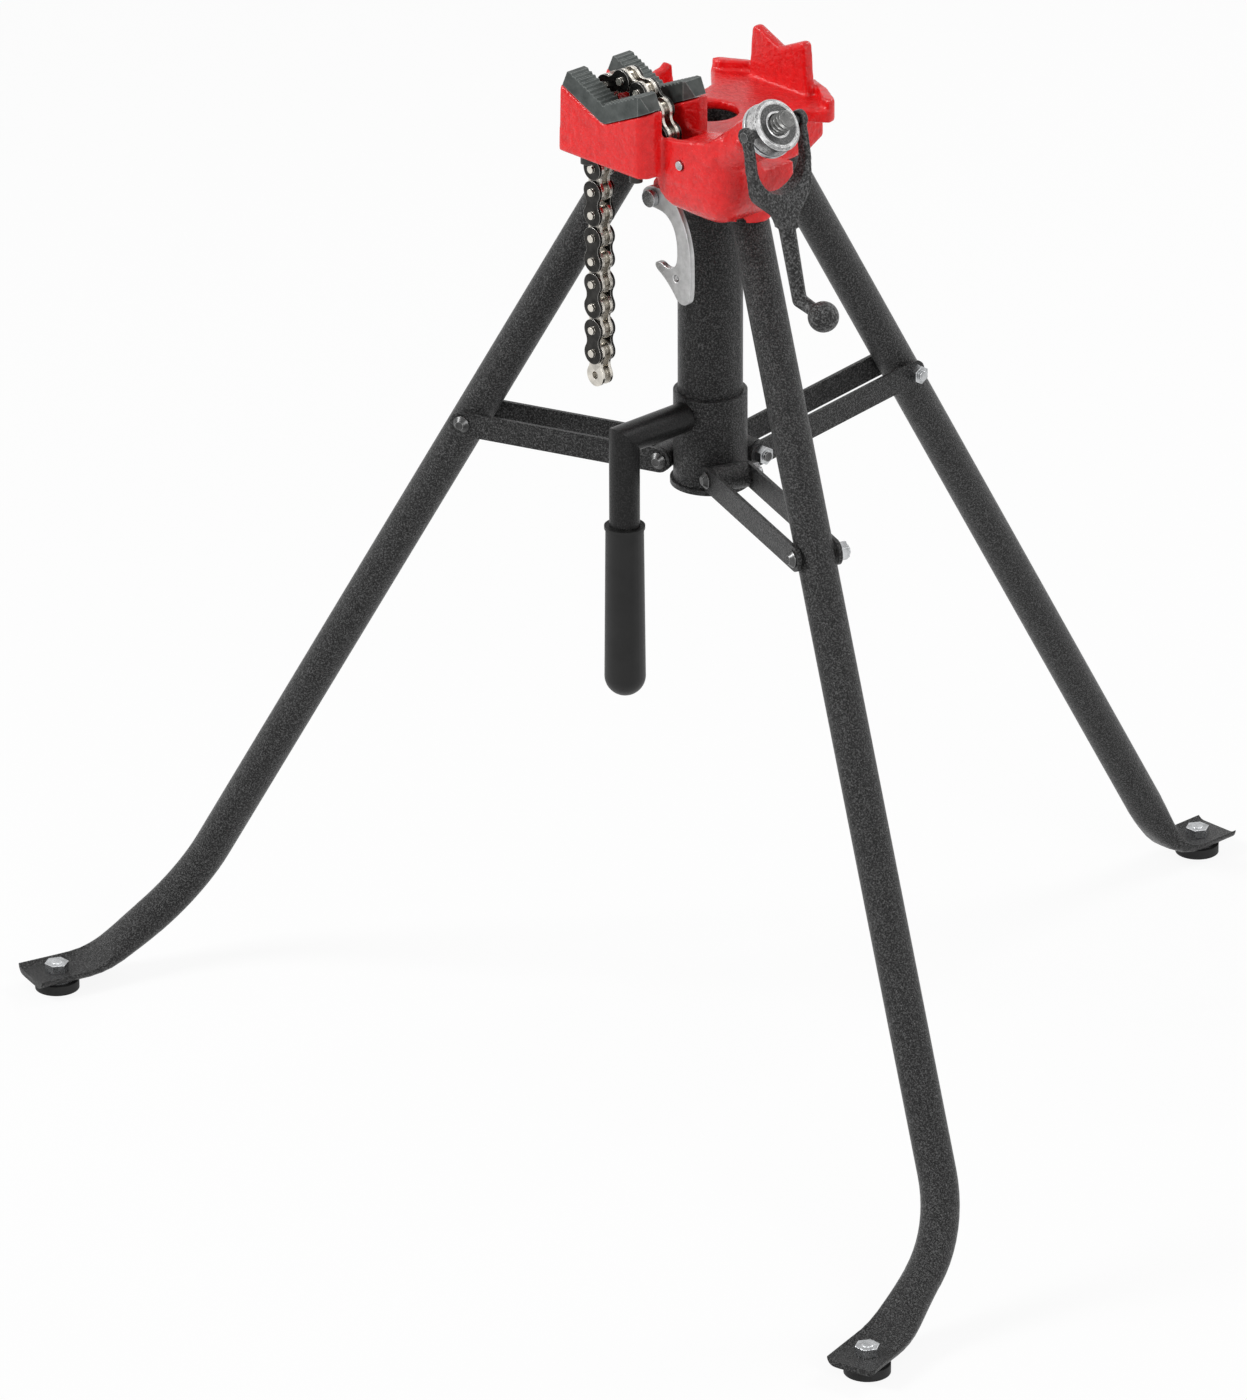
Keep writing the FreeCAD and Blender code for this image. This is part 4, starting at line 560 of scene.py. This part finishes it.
def peened_link(node):
    """A chain link whose pin ends are bright and whose plates keep their own finish."""
    mesh = frame["nodes"][node].data.copy()
    along_pins = places(mesh)[:, 1]
    across = np.abs(along_pins - along_pins.mean())
    outer = across.max() - ON_THE_END
    piece = new_piece(node + "_peened", mesh, node, SLOT_OF[node], "pin_bright")
    for face in piece.data.polygons:
        if max(across[v] for v in face.vertices) > outer and face.area < PIN_END_AREA:
            face.material_index = 1


def sorted_bolts(node):
    """Bolts of one node: domed heads in black, hexagon nuts and thread ends in bright zinc."""
    bm = bmesh.new()
    bm.from_mesh(frame["nodes"][node].data)
    bmesh.ops.remove_doubles(bm, verts=bm.verts, dist=SAME_POINT)
    bm.faces.index_update()
    seen, dark = set(), set()
    for face in bm.faces:
        if face.index in seen:
            continue
        group, stack = [], [face]
        seen.add(face.index)
        while stack:
            one = stack.pop()
            group.append(one)
            for edge in one.edges:
                for other in edge.link_faces:
                    if other.index not in seen:
                        seen.add(other.index)
                        stack.append(other)
        if len(group) > HEAD_FACES:
            dark.update(member.index for member in group)
    mesh = finished(bm, node + "_sorted")
    smooth_by_angle(mesh, 44.0)
    piece = new_piece(node + "_sorted", mesh, node, "zinc", "bolt_dark")
    for face in piece.data.polygons:
        face.material_index = 1 if face.index in dark else 0


JAW_WEAR = 0.00045


def worn_jaw(node):
    """A jaw whose flat faces are whole and whose edges are worn round."""
    bm = bmesh.new()
    bm.from_mesh(frame["nodes"][node].data)
    bmesh.ops.remove_doubles(bm, verts=bm.verts, dist=SAME_POINT)
    bmesh.ops.dissolve_limit(bm, angle_limit=math.radians(1.0), verts=bm.verts, edges=bm.edges)
    corners = [edge for edge in bm.edges
               if len(edge.link_faces) == 2 and edge.calc_face_angle(0.0) > math.radians(25.0)]
    bmesh.ops.bevel(bm, geom=corners, offset=JAW_WEAR, segments=2, affect="EDGES",
                    clamp_overlap=True)
    bmesh.ops.dissolve_degenerate(bm, dist=1e-5, edges=bm.edges)
    mesh = finished(bm, node + "_worn")
    kept_inside(mesh, node)
    mesh.shade_flat()
    new_piece(node + "_worn", mesh, node)


# The hook in millimetres in the row frame: its outline as (x, z), from the lobe round by the
# throat, and its holes as (x, z, radius), the bolt's first.
HOOK_OUTLINE = [
    (-23.5, 745.0), (-18.0, 740.8), (-8.5, 740.8), (0.5, 739.5), (8.2, 733.5), (12.6, 724.5),
    (14.2, 714.0), (13.9, 703.5), (11.3, 698.1), (6.5, 695.5), (1.6, 695.3), (-4.6, 698.4),
    (-10.2, 696.6), (-9.8, 692.0), (-0.1, 686.3), (9.6, 676.9), (14.5, 670.2), (20.5, 668.5),
    (27.0, 671.5), (28.9, 680.0), (29.0, 700.0), (28.4, 714.0), (24.6, 729.0), (18.2, 742.0),
    (11.0, 752.5), (1.0, 757.6), (-12.0, 758.6), (-20.5, 755.8), (-24.6, 750.5)]
HOOK_HOLES = [(-12.5, 749.0, 4.1), (12.9, 688.8, 2.8)]
HOLE_SIDES = 32


def rounded_outline(points, rounds):
    """A closed outline whose corners are cut off, round by round, towards a smooth curve."""
    for _ in range(rounds):
        cut = []
        for (ax, az), (bx, bz) in zip(points, points[1:] + points[:1]):
            for share in (0.25, 0.75):
                cut.append((ax * (1.0 - share) + bx * share, az * (1.0 - share) + bz * share))
        points = cut
    return points


def drawn_hook(edge):
    """The latch: a flat plate with a smooth outline, pressed edges and two holes."""
    low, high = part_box("latch_hook")
    data = bpy.data.curves.new("drawn_hook", "CURVE")
    data.dimensions = "2D"
    data.fill_mode = "BOTH"
    data.extrude = (high.y - low.y) / 2 - edge
    data.bevel_depth = edge
    data.bevel_resolution = 2
    data.offset = -edge
    rings = [rounded_outline(HOOK_OUTLINE, 2)]
    for x, z, radius in HOOK_HOLES:
        angles = [math.tau * i / HOLE_SIDES for i in range(HOLE_SIDES)]
        rings.append([(x + radius * math.cos(a), z + radius * math.sin(a)) for a in angles])
    for ring in rings:
        spline = data.splines.new("POLY")
        spline.points.add(len(ring) - 1)
        for point, (x, z) in zip(spline.points, ring):
            point.co = (x / 1000.0, z / 1000.0, 0.0, 1.0)
        spline.use_cyclic_u = True
    mesh = worked_out(data)
    middle = (high.y + low.y) / 2
    for vertex in mesh.vertices:
        x, z, along = vertex.co
        vertex.co = (x, middle - along, z)
    mesh.update()
    kept_inside(mesh, "latch_hook")
    smooth_by_angle(mesh, 40.0)
    new_piece("drawn_hook", mesh, "latch_hook")


def reach_along(node):
    """How far a node reaches along the screw's axis, from the middle of the nut."""
    steps = [(vertex.co - NUT_MIDDLE).dot(SCREW_AXIS)
             for vertex in frame["nodes"][node].data.vertices]
    return min(steps), max(steps)


skinned_piece("cast_head", "head_casting", voxel=0.0013,
              rounds=[(7, None), (60, neck_of_hub), (110, bowl_of_hub)])
skinned_piece("forged_fork", "fork_handle", voxel=0.0008, rounds=[(5, None)])
faced_nut(*reach_along("screw_nut"), radius=0.02075, bore=0.0081)
threaded_screw(start=-0.052, end=reach_along("chain_screw")[1], major=0.0080, pitch=0.0040,
               depth=0.0019)
worn_jaw("front_jaw")
worn_jaw("rear_jaw")
drawn_hook(edge=0.0007)
for number in range(1, 20):
    peened_link(f"chain_link_{number:02d}")
for side in ("left", "right", "rear"):
    sorted_bolts(f"{side}_link_bolts")


# ---------------------------------------------------------------------------
# Studio: pale floor, soft boxes, even white surroundings.
# ---------------------------------------------------------------------------
WHITE = (1.0, 1.0, 1.0, 1.0)
FLOOR_RADIUS = 40.0
FLOOR_SIDES = 64
FLOOR_GLOW = 0.90   # share of the floor that is plain white to the camera; the rest is lit
SOFT_LIGHT = 0.30   # what the surroundings give to the object


def seen_rays(tree, *kinds):
    """1 for rays of any of these kinds, from Light Path."""
    rays = tree.nodes.new("ShaderNodeLightPath")
    seen = rays.outputs[kinds[0]]
    for kind in kinds[1:]:
        most = tree.nodes.new("ShaderNodeMath")
        most.operation = "MAXIMUM"
        tree.links.new(seen, most.inputs[0])
        tree.links.new(rays.outputs[kind], most.inputs[1])
        seen = most.outputs[0]
    return seen


def mixed(tree, share, low, high, out):
    """Sends shader low to out where share is 0 and shader high where it is 1."""
    mix = tree.nodes.new("ShaderNodeMixShader")
    tree.links.new(share, mix.inputs["Fac"])
    tree.links.new(low.outputs[0], mix.inputs[1])
    tree.links.new(high.outputs[0], mix.inputs[2])
    tree.links.new(mix.outputs[0], out.inputs["Surface"])


def make_floor():
    """A round floor, nearly white to the camera, that still takes the stand's shadow."""
    data = bpy.data.meshes.new("floor")
    angles = [math.tau * i / FLOOR_SIDES for i in range(FLOOR_SIDES)]
    rim = [(FLOOR_RADIUS * math.cos(a), FLOOR_RADIUS * math.sin(a), 0.0) for a in angles]
    data.from_pydata(rim, [], [tuple(range(FLOOR_SIDES))])
    floor = bpy.data.objects.new("floor", data)
    bpy.context.scene.collection.objects.link(floor)
    material = bpy.data.materials.new("floor")
    material.use_nodes = True
    tree = material.node_tree
    tree.nodes.clear()
    out = tree.nodes.new("ShaderNodeOutputMaterial")
    matte = tree.nodes.new("ShaderNodeBsdfDiffuse")
    matte.inputs["Color"].default_value = (0.86, 0.86, 0.86, 1.0)
    glow = tree.nodes.new("ShaderNodeEmission")
    glow.inputs["Color"].default_value = WHITE
    share = tree.nodes.new("ShaderNodeMath")
    share.operation = "MULTIPLY"
    share.inputs[1].default_value = FLOOR_GLOW
    tree.links.new(seen_rays(tree, "Is Camera Ray", "Is Glossy Ray"), share.inputs[0])
    mixed(tree, share.outputs[0], matte, glow, out)
    data.materials.append(material)


def make_world():
    """Soft even light on the object, and plain white where the surroundings are seen."""
    world = bpy.data.worlds.new("studio")
    bpy.context.scene.world = world
    world.use_nodes = True
    tree = world.node_tree
    tree.nodes.clear()
    out = tree.nodes.new("ShaderNodeOutputWorld")
    soft = tree.nodes.new("ShaderNodeBackground")
    soft.inputs["Color"].default_value = WHITE
    soft.inputs["Strength"].default_value = SOFT_LIGHT
    white = tree.nodes.new("ShaderNodeBackground")
    white.inputs["Color"].default_value = WHITE
    white.inputs["Strength"].default_value = 1.0
    seen = seen_rays(tree, "Is Camera Ray", "Is Glossy Ray", "Is Transmission Ray")
    mixed(tree, seen, soft, white, out)


make_camera()
make_floor()
make_world()
area_light("key", (-2.2, -3.2, 3.4), (1.6, 1.6), 150.0)
area_light("fill", (4.2, -1.4, 2.2), (2.2, 2.2), 70.0)
area_light("rear", (0.5, 3.6, 3.0), (2.0, 1.2), 80.0)

view = bpy.context.scene.view_settings
view.view_transform = "Standard"
